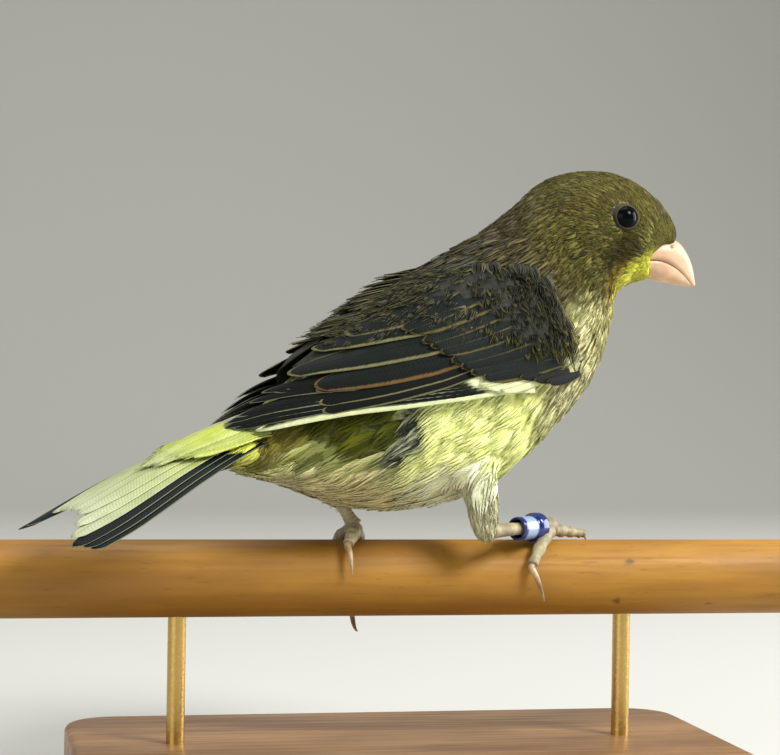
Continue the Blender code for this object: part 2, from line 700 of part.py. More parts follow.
def shank_tube(name: str, foot: str, grow: float = 0.0, stretch: float = 0.0) -> bpy.types.Object:
    low, high = (np.array(p) + np.array([0, 0, PERCH_HEIGHT]) for p in TARSUS[foot])
    along = (high - low) / np.linalg.norm(high - low)
    low, high = low - along * stretch, high + along * stretch
    shares = (0.0, 0.12, 0.3, 0.6, 0.85, 1.0)
    widths = (1.45, 1.2, 1.0, 1.0, 1.15, 1.35)
    path = [low + (high - low) * u for u in shares]
    return tube(name, path, [SHANK_RADIUS * w + grow for w in widths], 12)


def legs() -> list:
    """Thighs, shanks, feet, claws and the ring on the right shank, in the model's frame."""
    made = []
    for foot in ("right", "left"):
        toes, claws = [], []
        for name, sizes in TOES[foot].items():
            body, claw = toe(foot, name, sizes)
            toes.append(body)
            claws.append(claw)
        knob = ball("foot_" + foot, np.array([0, 0, 0]), 1.0, 14, 9)
        knob.data.transform(Matrix.Diagonal((2.2, 1.9, 1.45, 1.0)))
        knob.data.transform(Matrix.Translation((FOOT_X[foot], -0.2, PERCH_HEIGHT + PERCH_RADIUS + GAP + 1.5)))
        combine(knob, toes, "UNION")
        combine(knob, [shank_tube("space", foot, GAP, GAP)], "DIFFERENCE")
        shank = shank_tube("shank_" + foot, foot)
        made += [knob, shank, *claws]
    low, high = (np.array(p) + np.array([0, 0, PERCH_HEIGHT]) for p in TARSUS["right"])
    along = (high - low) / np.linalg.norm(high - low)
    start = low + along * 3.2
    outer = tube("leg_ring", [start + along * t for t in RING_STEPS], RING_RADII, 24)
    inner = tube("bore", [start + along * t for t in (-1.0, 8.0)], [1.6, 1.6], 24)
    combine(outer, [inner], "DIFFERENCE")
    made.append(outer)
    return made


RING_STEPS = (0.0, 0.2, 1.9, 2.15, 6.1, 6.3)
RING_RADII = [2.25, 2.45, 2.45, 1.98, 1.98, 1.85]
THIGHS = {
    "right": [
        ((-0.4, -8.4, 22.0), 4.6), ((0.8, -9.6, 18.0), 3.9), ((1.8, -10.6, 14.6), 2.95),
        ((2.2, -11.3, 11.0), 2.75), ((2.45, -11.7, 8.2), 2.4), ((2.6, -11.8, 6.7), 1.3),
    ],
    "left": [
        ((-13.0, 6.6, 21.5), 4.4), ((-14.8, 5.8, 17.8), 3.9), ((-16.4, 5.2, 14.8), 3.0),
        ((-17.3, 4.8, 12.9), 2.3), ((-17.7, 4.6, 11.9), 1.6),
    ],
}


def body_nodes() -> list:
    torso = body_span("torso", -27.85, 24.0, 2.35)
    neck = body_span("neck", 24.3, 33.0, 1.45)
    rump = body_span("rump", -33.0, -28.15, 1.6)
    thighs = []
    for foot in ("right", "left"):
        thigh = tube("thigh_" + foot, [p for p, _ in THIGHS[foot]], [r for _, r in THIGHS[foot]], 20)
        combine(thigh, [body_span("grown", -34.0, 26.0, 2.4, GAP)], "DIFFERENCE")
        thighs.append(thigh)
    return [torso, neck, rump, *thighs]


def stand() -> list:
    """Flat base, two short rods and the cut length of perch, in the model's frame."""
    bm = bmesh.new()
    bmesh.ops.create_cube(bm, size=1.0)
    bmesh.ops.scale(bm, verts=bm.verts, vec=(BASE_LENGTH, BASE_WIDTH, BASE_HEIGHT))
    bmesh.ops.translate(bm, verts=bm.verts, vec=(0, 0, BASE_HEIGHT / 2))
    upright = [e for e in bm.edges if abs(e.verts[0].co.z - e.verts[1].co.z) > 1]
    bmesh.ops.bevel(bm, geom=upright, offset=9.0, offset_type="OFFSET", segments=8, profile=0.5, affect="EDGES", material=-1)
    top = [e for e in bm.edges if all(v.co.z > BASE_HEIGHT - 0.01 for v in e.verts)]
    bmesh.ops.bevel(bm, geom=top, offset=1.2, offset_type="OFFSET", segments=3, profile=0.5, affect="EDGES", material=-1)
    bmesh.ops.triangulate(bm, faces=bm.faces)
    mesh = bpy.data.meshes.new("stand_base")
    bm.to_mesh(mesh)
    bm.free()
    base = bpy.data.objects.new("stand_base", mesh)
    bpy.context.scene.collection.objects.link(base)
    half = PERCH_LENGTH / 2
    ends = [(-half, PERCH_RADIUS - 0.5), (-half + 0.5, PERCH_RADIUS), (half - 0.5, PERCH_RADIUS), (half, PERCH_RADIUS - 0.5)]
    perch = tube("stand_perch", [(x, 0.0, PERCH_HEIGHT) for x, _ in ends], [r for _, r in ends], 44)
    made = [base, perch]
    for name, x in (("stand_rod_left", -ROD_SPACING / 2), ("stand_rod_right", ROD_SPACING / 2)):
        rod = tube(name, [(x, 0.0, BASE_HEIGHT + GAP), (x, 0.0, PERCH_HEIGHT)], [ROD_RADIUS, ROD_RADIUS], 20)
        combine(rod, [tube("clear", [(-half, 0.0, PERCH_HEIGHT), (half, 0.0, PERCH_HEIGHT)], [PERCH_RADIUS + GAP] * 2, 48)], "DIFFERENCE")
        made.append(rod)
    return made


FINISHES = {
    "head": ((0.30, 0.24, 0.08), 0.8), "neck": ((0.27, 0.22, 0.09), 0.8), "torso": ((0.62, 0.58, 0.24), 0.8),
    "rump": ((0.62, 0.56, 0.30), 0.8), "tail": ((0.55, 0.52, 0.30), 0.6), "bill": ((0.62, 0.38, 0.30), 0.4),
    "eye": ((0.01, 0.01, 0.012), 0.1), "wing": ((0.12, 0.10, 0.06), 0.6), "thigh": ((0.62, 0.58, 0.45), 0.8),
    "shank": ((0.55, 0.38, 0.28), 0.5), "foot": ((0.58, 0.40, 0.28), 0.5), "claw": ((0.62, 0.46, 0.36), 0.4),
    "leg": ((0.02, 0.05, 0.38), 0.3), "stand": ((0.52, 0.36, 0.18), 0.5),
}


def main() -> None:
    for obj in list(bpy.data.objects):
        bpy.data.objects.remove(obj)
    head = head_nodes()
    body = body_nodes()
    wings = [wing("wing_right", -1.0), wing("wing_left", 1.0)]
    bird = [*head, *body, *wings, tail()]
    place_bird(bird)
    lower = legs()
    for foot in ("right", "left"):
        thigh = bpy.data.objects["thigh_" + foot]
        combine(thigh, [shank_tube("clear", foot, GAP, GAP)], "DIFFERENCE")
        grown = body_span("grown", -34.0, 26.0, 2.4, GAP)
        place_bird([grown])
        combine(bpy.data.objects["shank_" + foot], [grown], "DIFFERENCE")
    for obj in [*bird, *lower, *stand()]:
        colour, roughness = FINISHES[obj.name.split("_")[0]]
        finish(obj, colour, roughness)


if __name__ == "__main__":
    main()
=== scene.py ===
"""A perched canary at life size on a plain display stand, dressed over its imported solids.

Shapes are worked out in millimetres in the bird's own frame: f forward, l to its left, z over the
perch axis, with the head looking straight ahead. In the body frame x runs along the sloping body
and y across it in the middle plane. settle() turns the head and sets the bird on its perch.
"""

import json
import logging
import math
from collections.abc import Callable
from dataclasses import dataclass, field
from enum import Enum

import bmesh
import bpy
import numpy as np
from mathutils import Matrix, Vector
from mathutils.bvhtree import BVHTree

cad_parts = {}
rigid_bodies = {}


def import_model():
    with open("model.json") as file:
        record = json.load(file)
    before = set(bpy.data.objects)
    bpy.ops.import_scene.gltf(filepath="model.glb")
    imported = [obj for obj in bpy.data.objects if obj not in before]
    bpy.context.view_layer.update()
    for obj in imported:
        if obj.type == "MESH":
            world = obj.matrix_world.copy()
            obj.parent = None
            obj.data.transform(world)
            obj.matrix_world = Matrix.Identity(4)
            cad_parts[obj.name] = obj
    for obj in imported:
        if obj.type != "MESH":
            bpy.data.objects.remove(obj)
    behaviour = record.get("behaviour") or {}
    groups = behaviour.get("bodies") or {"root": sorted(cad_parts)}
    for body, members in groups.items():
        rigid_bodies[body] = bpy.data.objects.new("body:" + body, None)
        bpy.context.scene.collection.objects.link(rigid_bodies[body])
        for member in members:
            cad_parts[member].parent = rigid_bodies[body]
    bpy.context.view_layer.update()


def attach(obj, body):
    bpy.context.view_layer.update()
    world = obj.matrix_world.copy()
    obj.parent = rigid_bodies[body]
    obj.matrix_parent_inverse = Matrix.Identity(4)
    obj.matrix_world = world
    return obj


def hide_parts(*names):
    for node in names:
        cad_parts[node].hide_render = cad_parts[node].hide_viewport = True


LOG = logging.getLogger("canary")
MM = 0.001
PERCH_HEIGHT = 34.0
PERCH_RADIUS = 6.35
BIRD_X = 6.075
BIRD_TURN = math.radians(13.5)
BODY_PITCH = math.radians(36.0)
BODY_CENTRE_Z = 33.0
HEAD_TURN = math.radians(-17.0)
HEAD_PIVOT_F = 20.0
BODY_POWER = 2.15

# x, top y, bottom y, half width of the torso and neck across the body axis
BODY = np.array([
    (-41.0, 15.0, 10.0, 5.4), (-36.0, 15.0, 6.6, 6.6), (-32.0, 15.2, 1.2, 8.2), (-28.0, 15.5, -4.5, 10.0),
    (-22.0, 16.1, -10.5, 12.3), (-14.0, 17.0, -15.4, 14.3), (-6.0, 18.0, -18.2, 15.4), (2.0, 18.4, -18.9, 15.7),
    (10.0, 17.7, -18.1, 15.4), (17.0, 16.8, -16.9, 14.6), (24.0, 16.3, -14.4, 13.3), (29.0, 16.5, -10.8, 12.2),
    (33.0, 17.1, -7.0, 11.5),
])
# top x, top y, bottom x, bottom y, half width of the head's ribs
HEAD = np.array([
    (33.3, 17.15, 33.3, -6.8, 11.45), (36.0, 17.1, 34.5, -6.3, 11.0), (38.7, 16.3, 35.6, -6.1, 10.5),
    (41.3, 15.1, 36.6, -6.2, 9.95), (43.7, 13.6, 37.5, -6.4, 9.4), (45.9, 11.7, 38.3, -6.6, 8.8),
    (47.7, 9.4, 39.1, -6.85, 8.05), (49.1, 6.6, 39.9, -7.2, 7.1), (50.0, 3.8, 40.7, -7.5, 6.1),
    (50.5, 1.0, 41.6, -7.8, 5.15), (50.4, -1.4, 42.5, -7.9, 4.4), (49.9, -3.4, 43.5, -7.6, 3.8),
])
# x, top y, bottom y, half width of the sheet on which the folded wings lie
WING_SHEET = np.array([
    (-50.0, 15.4, 2.0, 5.2), (-41.0, 16.1, 0.0, 7.0), (-36.0, 16.8, -1.6, 8.2), (-30.0, 17.7, -4.5, 10.0),
    (-22.0, 18.4, -11.0, 12.6), (-14.0, 18.2, -15.7, 14.7), (-6.0, 18.5, -18.5, 15.8), (2.0, 18.7, -19.2, 16.1),
    (10.0, 18.1, -18.4, 15.8), (17.0, 17.2, -17.2, 15.0), (24.0, 16.6, -14.7, 13.7),
])


class Side(Enum):
    """The bird's own right and left; the value is the sign of l."""

    RIGHT = -1.0
    LEFT = 1.0

    @property
    def word(self) -> str:
        """The side's name in small letters."""
        return self.name.lower()


def tint(red: float, green: float, blue: float) -> tuple[float, float, float]:
    """A colour given in 0 to 255 screen values.

    Args:
        red: Red share.
        green: Green share.
        blue: Blue share.

    Returns:
        The same colour in linear light.
    """
    shares = (c / 255.0 for c in (red, green, blue))
    return tuple(c / 12.92 if c <= 0.04045 else ((c + 0.055) / 1.055) ** 2.4 for c in shares)


def smooth_step(value: np.ndarray, low: float, high: float) -> np.ndarray:
    """Rises smoothly from 0 at low to 1 at high.

    Args:
        value: Where to read it.
        low: Where it starts to rise.
        high: Where it is full.

    Returns:
        The share at each value.
    """
    u = np.clip((np.asarray(value, float) - low) / (high - low), 0.0, 1.0)
    return u * u * (3.0 - 2.0 * u)


def read_table(table: np.ndarray, x: np.ndarray) -> np.ndarray:
    """Rows of a table at x, smooth between its rows.

    Args:
        table: Rows whose first column is x.
        x: Where to read.

    Returns:
        The other columns at each x.
    """
    xs = table[:, 0]
    x = np.clip(np.atleast_1d(np.asarray(x, float)), xs[0], xs[-1])
    k = np.clip(np.searchsorted(xs, x) - 1, 0, len(xs) - 2)
    slopes = np.gradient(table[:, 1:], xs, axis=0)
    span = (xs[k + 1] - xs[k])[:, None]
    u = (x - xs[k])[:, None] / span
    return (
        (2 * u**3 - 3 * u**2 + 1) * table[k, 1:]
        + (u**3 - 2 * u**2 + u) * span * slopes[k]
        + (3 * u**2 - 2 * u**3) * table[k + 1, 1:]
        + (u**3 - u**2) * span * slopes[k + 1]
    )


def from_body(x: np.ndarray, y: np.ndarray, l: np.ndarray) -> np.ndarray:
    """Body frame to the bird's frame.

    Args:
        x: Along the body axis.
        y: Across it in the middle plane.
        l: To the left.

    Returns:
        Points (f, l, z).
    """
    x, y, l = np.broadcast_arrays(np.asarray(x, float), y, l)
    c, s = math.cos(BODY_PITCH), math.sin(BODY_PITCH)
    return np.stack([x * c - y * s, l, BODY_CENTRE_Z + x * s + y * c], axis=-1)


def to_body(points: np.ndarray) -> tuple[np.ndarray, np.ndarray]:
    """Bird's frame to x and y of the body frame.

    Args:
        points: Points (f, l, z).

    Returns:
        x along the body axis and y across it.
    """
    c, s = math.cos(BODY_PITCH), math.sin(BODY_PITCH)
    z = points[..., 2] - BODY_CENTRE_Z
    return points[..., 0] * c + z * s, -points[..., 0] * s + z * c


def turned(points: np.ndarray, share: np.ndarray | float) -> np.ndarray:
    """Turns points round the upright line through the neck.

    Args:
        points: Points (f, l, z).
        share: Share of the head's turn at each point.

    Returns:
        The turned points.
    """
    angle = HEAD_TURN * np.asarray(share, float)
    f = points[..., 0] - HEAD_PIVOT_F
    l = points[..., 1]
    c, s = np.cos(angle), np.sin(angle)
    return np.stack([HEAD_PIVOT_F + f * c - l * s, f * s + l * c, points[..., 2]], axis=-1)


def on_perch(points: np.ndarray) -> np.ndarray:
    """Sets points of the bird's frame on the perch, with no turn of the head.

    Args:
        points: Points (f, l, z).

    Returns:
        The model's millimetres.
    """
    c, s = math.cos(BIRD_TURN), math.sin(BIRD_TURN)
    f, l, z = points[..., 0], points[..., 1], points[..., 2]
    return np.stack([BIRD_X + f * c - l * s, f * s + l * c, PERCH_HEIGHT + z], axis=-1)


def settle(points: np.ndarray) -> np.ndarray:
    """Turns the head with its neck and sets the bird on the perch.

    Args:
        points: Points (f, l, z) with the head straight.

    Returns:
        The model's millimetres.
    """
    x, _ = to_body(points)
    share = smooth_step(x + 2.0 * smooth_step(x, 33.3, 35.3), 22.0, 38.0)
    return on_perch(turned(points, share))


def head_set(points: np.ndarray) -> np.ndarray:
    """As settle(), for rigid things on the head, which take the whole turn."""
    return on_perch(turned(points, 1.0))


def rib(top: np.ndarray, bottom: np.ndarray, half: float, power: float, sides: int) -> np.ndarray:
    """A rounded section in the plane of the rib from top to bottom and the sideways direction.

    Args:
        top: The section's top point.
        bottom: Its bottom point.
        half: Half its width.
        power: 2 for an ellipse, more for a squarer one.
        sides: Points round it.

    Returns:
        The section's points.
    """
    t = np.linspace(0, 2 * math.pi, sides, endpoint=False)
    up = np.sign(np.cos(t)) * np.abs(np.cos(t)) ** (2 / power)
    out = np.sign(np.sin(t)) * np.abs(np.sin(t)) ** (2 / power)
    ring = (top + bottom) / 2 + np.outer(up, (top - bottom) / 2)
    ring[:, 1] -= half * out
    return ring


def tube_ribs(path: np.ndarray, radii: list[float], sides: int, flat: float = 1.0) -> list[np.ndarray]:
    """Round sections along a path.

    Args:
        path: Points along the middle.
        radii: Radius at each.
        sides: Points round each section.
        flat: Squash of each section along its third direction.

    Returns:
        One ring of points for each path point.
    """
    path = np.asarray(path, float)
    ribs = []
    side = None
    for k, p in enumerate(path):
        along = path[min(k + 1, len(path) - 1)] - path[max(k - 1, 0)]
        along = along / np.linalg.norm(along)
        if side is None:
            side = np.cross(along, (1.0, 0.0, 0.0) if abs(along[0]) < 0.8 else (0.0, 1.0, 0.0))
        side = side - along * (side @ along)
        side = side / np.linalg.norm(side)
        third = np.cross(along, side)
        t = np.linspace(0, 2 * math.pi, sides, endpoint=False)
        ribs.append(p + radii[k] * (np.outer(np.cos(t), side) + flat * np.outer(np.sin(t), third)))
    return ribs


def loft(bm: bmesh.types.BMesh, ribs: list[np.ndarray], caps: bool = True) -> None:
    """Adds a surface through rings of points to a mesh.

    Args:
        bm: The mesh that it goes into.
        ribs: Rings of equal count.
        caps: Closes both ends.
    """
    loops = []
    for ring in ribs:
        made = bmesh.ops.create_circle(bm, segments=len(ring), radius=1.0)["verts"]
        for vert, place in zip(made, ring):
            vert.co = Vector(place)
        loops.append(list({e for v in made for e in v.link_edges}))
    for first, second in zip(loops, loops[1:]):
        bmesh.ops.bridge_loops(bm, edges=first + second)
    if caps:
        for ends in (loops[0], loops[-1]):
            made = bmesh.ops.edgeloop_fill(bm, edges=ends)["faces"]
            bmesh.ops.poke(bm, faces=made)
    bmesh.ops.recalc_face_normals(bm, faces=bm.faces)


def place_all(bm: bmesh.types.BMesh, how: Callable[[np.ndarray], np.ndarray]) -> None:
    """Moves every vertex of a mesh by a function of its place.

    Args:
        bm: The mesh.
        how: Takes points and returns where they go.
    """
    bm.verts.ensure_lookup_table()
    moved = how(np.array([v.co for v in bm.verts]))
    for vert, place in zip(bm.verts, moved):
        vert.co = Vector(place)


def to_object(
    name: str, bm: bmesh.types.BMesh, finish: bpy.types.Material, scale: float = MM, smooth: bool = True
) -> bpy.types.Object:
    """Ends a mesh as an object of the scene.

    Args:
        name: The piece's name.
        bm: Its mesh, which is freed.
        finish: Its material.
        scale: Metres for each of the mesh's units.
        smooth: Smooth shading.

    Returns:
        The new object.
    """
    bmesh.ops.scale(bm, verts=bm.verts, vec=(scale, scale, scale))
    bmesh.ops.recalc_face_normals(bm, faces=bm.faces)
    for face in bm.faces:
        face.smooth = smooth
    mesh = bpy.data.meshes.new(name)
    bm.to_mesh(mesh)
    bm.free()
    mesh.materials.append(finish)
    obj = bpy.data.objects.new(name, mesh)
    bpy.context.scene.collection.objects.link(obj)
    return obj


def round_edges(obj: bpy.types.Object, levels: int) -> None:
    """Adds a subdivision surface to a piece and keeps its result.

    Args:
        obj: The piece.
        levels: How many times each face is divided.
    """
    modifier = obj.modifiers.new("rounding", "SUBSURF")
    modifier.levels = levels
    modifier.render_levels = levels
    bake_modifiers(obj)


def bake_modifiers(obj: bpy.types.Object) -> None:
    """Replaces a piece's mesh with what its modifiers make of it."""
    bpy.context.view_layer.update()
    graph = bpy.context.evaluated_depsgraph_get()
    made = bpy.data.meshes.new_from_object(obj.evaluated_get(graph))
    obj.modifiers.clear()
    old = obj.data
    obj.data = made
    bpy.data.meshes.remove(old)


def add_to_frame(obj: bpy.types.Object, slot: str, *nodes: str) -> bpy.types.Object:
    """Lets a piece ride on the model and hides the solids that it stands for.

    Args:
        obj: The piece.
        slot: The record's material slot; not used.
        nodes: Solids that it takes the place of.

    Returns:
        The piece.
    """
    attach(obj, "root")
    if nodes:
        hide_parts(*nodes)
    LOG.info("%s: %d faces", obj.name, len(obj.data.polygons))
    return obj


class Graph:
    """Wires the nodes of one finish."""

    def __init__(self, name: str) -> None:
        """Starts a material with its main shader.

        Args:
            name: The material's name.
        """
        self.material = bpy.data.materials.new(name)
        self.material.use_nodes = True
        self.nodes = self.material.node_tree.nodes
        self.shader = self.nodes["Principled BSDF"]

    def add(self, kind: str, **settings: object) -> bpy.types.Node:
        """Adds a node and gives it settings.

        Args:
            kind: Blender's name for the node's type.
            settings: Attributes to set.

        Returns:
            The node.
        """
        node = self.nodes.new(kind)
        for key, value in settings.items():
            setattr(node, key, value)
        return node

    def feed(self, socket: bpy.types.NodeSocket, value: object) -> None:
        """Links an output to an input, or sets the input's own value.

        Args:
            socket: The input.
            value: An output, a number or a colour.
        """
        if isinstance(value, bpy.types.NodeSocket):
            self.material.node_tree.links.new(value, socket)
        elif isinstance(value, tuple) and len(socket.default_value) == 4:
            socket.default_value = (*value[:3], 1.0)
        else:
            socket.default_value = value

    def maths(self, how: str, a: object, b: object = 0.0, clamp: bool = False) -> bpy.types.NodeSocket:
        """One sum of two values.

        Args:
            how: The operation.
            a: First value.
            b: Second value.
            clamp: Keeps the result from 0 to 1.

        Returns:
            The result's output.
        """
        node = self.add("ShaderNodeMath", operation=how, use_clamp=clamp)
        self.feed(node.inputs[0], a)
        self.feed(node.inputs[1], b)
        return node.outputs[0]

    def mix(self, share: object, a: object, b: object, how: str = "MIX") -> bpy.types.NodeSocket:
        """Mixes two colours.

        Args:
            share: Share of the second one.
            a: First colour.
            b: Second colour.
            how: The blend's type.

        Returns:
            The mixed colour.
        """
        node = self.add("ShaderNodeMix", data_type="RGBA", blend_type=how)
        self.feed(node.inputs[0], share)
        self.feed(node.inputs[6], a)
        self.feed(node.inputs[7], b)
        return node.outputs[2]

    def ease(self, value: object, low: object, high: object, start: float = 0.0, end: float = 1.0) -> bpy.types.NodeSocket:
        """A smooth step from start to end as a value goes from low to high.

        Args:
            value: What is read.
            low: Where it starts.
            high: Where it ends.
            start: Result at low.
            end: Result at high.

        Returns:
            The result's output.
        """
        node = self.add("ShaderNodeMapRange", interpolation_type="SMOOTHSTEP")
        for socket, part in zip(node.inputs[:5], (value, low, high, start, end)):
            self.feed(socket, part)
        return node.outputs[0]

    def noise(self, vector: object, scale: float, detail: float = 3.0) -> bpy.types.NodeSocket:
        """Soft random values about 0.5.

        Args:
            vector: Where it is read.
            scale: Spots for each unit.
            detail: Octaves.

        Returns:
            The value's output.
        """
        node = self.add("ShaderNodeTexNoise")
        if vector is not None:
            self.feed(node.inputs["Vector"], vector)
        node.inputs["Scale"].default_value = scale
        node.inputs["Detail"].default_value = detail
        return node.outputs["Fac"]

    def place(self, scale: tuple[float, float, float] = (1.0, 1.0, 1.0), turn: tuple[float, float, float] = (0, 0, 0)) -> bpy.types.NodeSocket:
        """Object coordinates, stretched and turned.

        Args:
            scale: Stretch of each axis.
            turn: Turn in radians about each axis.

        Returns:
            The vector's output.
        """
        where = self.add("ShaderNodeTexCoord")
        mapping = self.add("ShaderNodeMapping", vector_type="POINT")
        self.feed(mapping.inputs["Vector"], where.outputs["Object"])
        mapping.inputs["Scale"].default_value = scale
        mapping.inputs["Rotation"].default_value = turn
        return mapping.outputs["Vector"]

    def relief(self, height: object, depth: float, strength: float = 1.0) -> None:
        """Gives the shader a bump.

        Args:
            height: The height's output.
            depth: Its depth in metres.
            strength: Its strength.
        """
        node = self.add("ShaderNodeBump")
        node.inputs["Distance"].default_value = depth
        node.inputs["Strength"].default_value = strength
        self.feed(node.inputs["Height"], height)
        self.feed(self.shader.inputs["Normal"], node.outputs["Normal"])


@dataclass(frozen=True)
class FeatherFinish:
    """Barbed feather vanes whose tints, fringes and wear come from the feather's own values."""

    name: str
    barbs: float = 26.0
    roughness: float = 0.66
    depth: float = 0.00004
    sheen: float = 0.05
    mottle: float = 0.25
    shaft: float = 0.35
    streaks: float = 0.0
    soft: float = 0.5

    def make(self) -> bpy.types.Material:
        """Builds the material.

        Returns:
            A material that reads web, rim, mark and the vane map.
        """
        g = Graph(self.name)
        web = g.add("ShaderNodeAttribute", attribute_name="web")
        rim = g.add("ShaderNodeAttribute", attribute_name="rim")
        mark = g.add("ShaderNodeAttribute", attribute_name="mark")
        widths = g.add("ShaderNodeSeparateXYZ")
        g.feed(widths.inputs[0], mark.outputs["Vector"])
        vane = g.add("ShaderNodeUVMap", uv_map="vane")
        parts = g.add("ShaderNodeSeparateXYZ")
        g.feed(parts.inputs[0], vane.outputs["UV"])
        across = g.maths("SUBTRACT", g.maths("MULTIPLY", parts.outputs[0], 2.0), 1.0)
        along = parts.outputs[1]
        away = g.maths("ABSOLUTE", across)
        where = g.place((1.0, 1.0, 1.0))
        slant = g.maths("SUBTRACT", g.maths("MULTIPLY", along, self.barbs), g.maths("MULTIPLY", away, 3.2))
        tone = g.maths("MULTIPLY", web.outputs["Alpha"], 61.0)
        barbs = g.noise(self.join(g, g.maths("MULTIPLY", slant, 1.6), across, tone), 1.0, 3.0)
        strand = g.noise(self.join(g, g.maths("MULTIPLY", across, 3.4), g.maths("MULTIPLY", along, 0.9), tone), 1.0, 3.0)
        frayed = g.maths("MULTIPLY", g.maths("SUBTRACT", barbs, 0.5), 0.2 + 1.2 * self.soft)
        outer = g.maths("SUBTRACT", 1.0, across)
        inner = g.maths("ADD", 1.0, across)
        tip = g.maths("SUBTRACT", 1.0, along)
        masks = []
        for distance, width in ((outer, widths.outputs[0]), (inner, widths.outputs[1]), (tip, widths.outputs[2])):
            ratio = g.maths("ADD", g.maths("DIVIDE", distance, g.maths("MAXIMUM", width, 0.001)), frayed)
            masks.append(g.ease(ratio, 1.0 - 0.7 * self.soft - 0.1, 1.1 + 0.7 * self.soft, 1.0, 0.0))
        edge = g.maths("MAXIMUM", g.maths("MAXIMUM", masks[0], masks[1]), masks[2])
        if self.streaks:
            hairs = g.ease(strand, 0.40, 0.62, -self.streaks, self.streaks)
            edge = g.maths("ADD", edge, hairs, True)
        lines = g.maths("SINE", g.maths("MULTIPLY", slant, 2 * math.pi))
        fine = g.noise(where, 5200.0, 2.0)
        hair = g.maths("ADD", g.maths("MULTIPLY", lines, 0.4), g.maths("MULTIPLY", fine, 1.0))
        colour = g.mix(edge, web.outputs["Color"], rim.outputs["Color"])
        patchy = g.noise(where, 420.0, 3.0)
        light = g.maths("ADD", g.maths("MULTIPLY", g.maths("SUBTRACT", patchy, 0.5), self.mottle * 2.2), 1.0)
        light = g.maths("MULTIPLY", light, g.maths("ADD", g.maths("MULTIPLY", web.outputs["Alpha"], 0.4), 0.8))
        light = g.maths("MULTIPLY", light, g.maths("ADD", g.maths("MULTIPLY", hair, 0.18), 0.88))
        stem = g.ease(away, 0.02, 0.07, 1.0 - self.shaft, 1.0)
        light = g.maths("MULTIPLY", light, stem)
        grey = self.join(g, light, light, light)
        g.feed(g.shader.inputs["Base Color"], g.mix(1.0, colour, grey, "MULTIPLY"))
        g.shader.inputs["Roughness"].default_value = self.roughness
        g.shader.inputs["Sheen Weight"].default_value = self.sheen
        g.shader.inputs["Sheen Roughness"].default_value = 0.4
        g.shader.inputs["Specular IOR Level"].default_value = 0.12
        g.relief(hair, self.depth, 0.8)
        return g.material

    def join(self, g: Graph, x: object, y: object, z: object) -> bpy.types.NodeSocket:
        """Three values as one vector."""
        node = g.add("ShaderNodeCombineXYZ")
        for socket, value in zip(node.inputs, (x, y, z)):
            g.feed(socket, value)
        return node.outputs[0]


@dataclass(frozen=True)
class HornFinish:
    """Bill, claws and scutes: horn with fine growth lines, blotches and a soft gloss."""

    name: str
    tint: tuple[float, float, float]
    deep: tuple[float, float, float]
    lines: tuple[float, float, float] = (1.0, 1.0, 1.0)
    roughness: float = 0.38
    depth: float = 0.00003
    soft: float = 0.12

    def make(self) -> bpy.types.Material:
        """Builds the material.

        Returns:
            A horn material on object coordinates.
        """
        g = Graph(self.name)
        broad = g.noise(g.place(), 260.0, 3.0)
        grain = g.noise(g.place(self.lines), 1400.0, 4.0)
        colour = g.mix(g.ease(broad, 0.3, 0.72), self.tint, self.deep)
        shade = g.mix(g.ease(grain, 0.35, 0.7, 0.0, 0.35), colour, self.deep)
        g.feed(g.shader.inputs["Base Color"], shade)
        g.feed(g.shader.inputs["Roughness"], g.ease(grain, 0.2, 0.8, self.roughness - 0.08, self.roughness + 0.14))
        g.shader.inputs["Subsurface Weight"].default_value = self.soft
        g.shader.inputs["Subsurface Radius"].default_value = (0.0012, 0.0005, 0.0003)
        g.relief(grain, self.depth, 0.7)
        return g.material


@dataclass(frozen=True)
class SkinFinish:
    """The hide under the coat, in the coat's own markings and painted shade."""

    name: str = "skin_finish"
    roughness: float = 0.8

    def make(self) -> bpy.types.Material:
        """Builds the material.

        Returns:
            A material that reads the skin's own marking colours.
        """
        g = Graph(self.name)
        web = g.add("ShaderNodeAttribute", attribute_name="web")
        rim = g.add("ShaderNodeAttribute", attribute_name="rim")
        streaks = g.noise(g.place((1.0, 1.0, 2.4), (0.0, BODY_PITCH, 0.0)), 900.0, 3.0)
        fluff = g.noise(g.place(), 3000.0, 2.0)
        colour = g.mix(g.ease(streaks, 0.4, 0.62), web.outputs["Color"], rim.outputs["Color"])
        g.feed(g.shader.inputs["Base Color"], colour)
        g.shader.inputs["Roughness"].default_value = self.roughness
        g.relief(fluff, 0.00008, 0.8)
        return g.material


@dataclass(frozen=True)
class GlossFinish:
    """A smooth hard finish with fine scratches, for the ring, the eyes and the rods."""

    name: str
    tint: tuple[float, float, float]
    roughness: float = 0.15
    metal: float = 0.0
    coat: float = 0.0
    wear: float = 0.06
    pale: tuple[float, float, float] | None = None
    shine: float = 0.5
    band: tuple[float, float, float] | None = None

    def make(self) -> bpy.types.Material:
        """Builds the material.

        Returns:
            A glossy material.
        """
        g = Graph(self.name)
        scuffs = g.noise(g.place((1.0, 1.0, 1.0)), 1800.0, 4.0)
        worn = tuple(min(1.0, c * 1.5 + 0.02) for c in self.tint) if self.pale is None else self.pale
        colour = g.mix(g.ease(scuffs, 0.5, 0.8, 0.0, 0.5), self.tint, worn)
        if self.band is not None:
            stripe = g.add("ShaderNodeAttribute", attribute_name="band")
            colour = g.mix(stripe.outputs["Fac"], colour, self.band)
        g.feed(g.shader.inputs["Base Color"], colour)
        g.feed(g.shader.inputs["Roughness"], g.ease(scuffs, 0.3, 0.8, self.roughness, self.roughness + self.wear))
        g.shader.inputs["Metallic"].default_value = self.metal
        g.shader.inputs["Coat Weight"].default_value = self.coat
        g.shader.inputs["Specular IOR Level"].default_value = self.shine
        g.shader.inputs["Coat Roughness"].default_value = 0.04
        return g.material


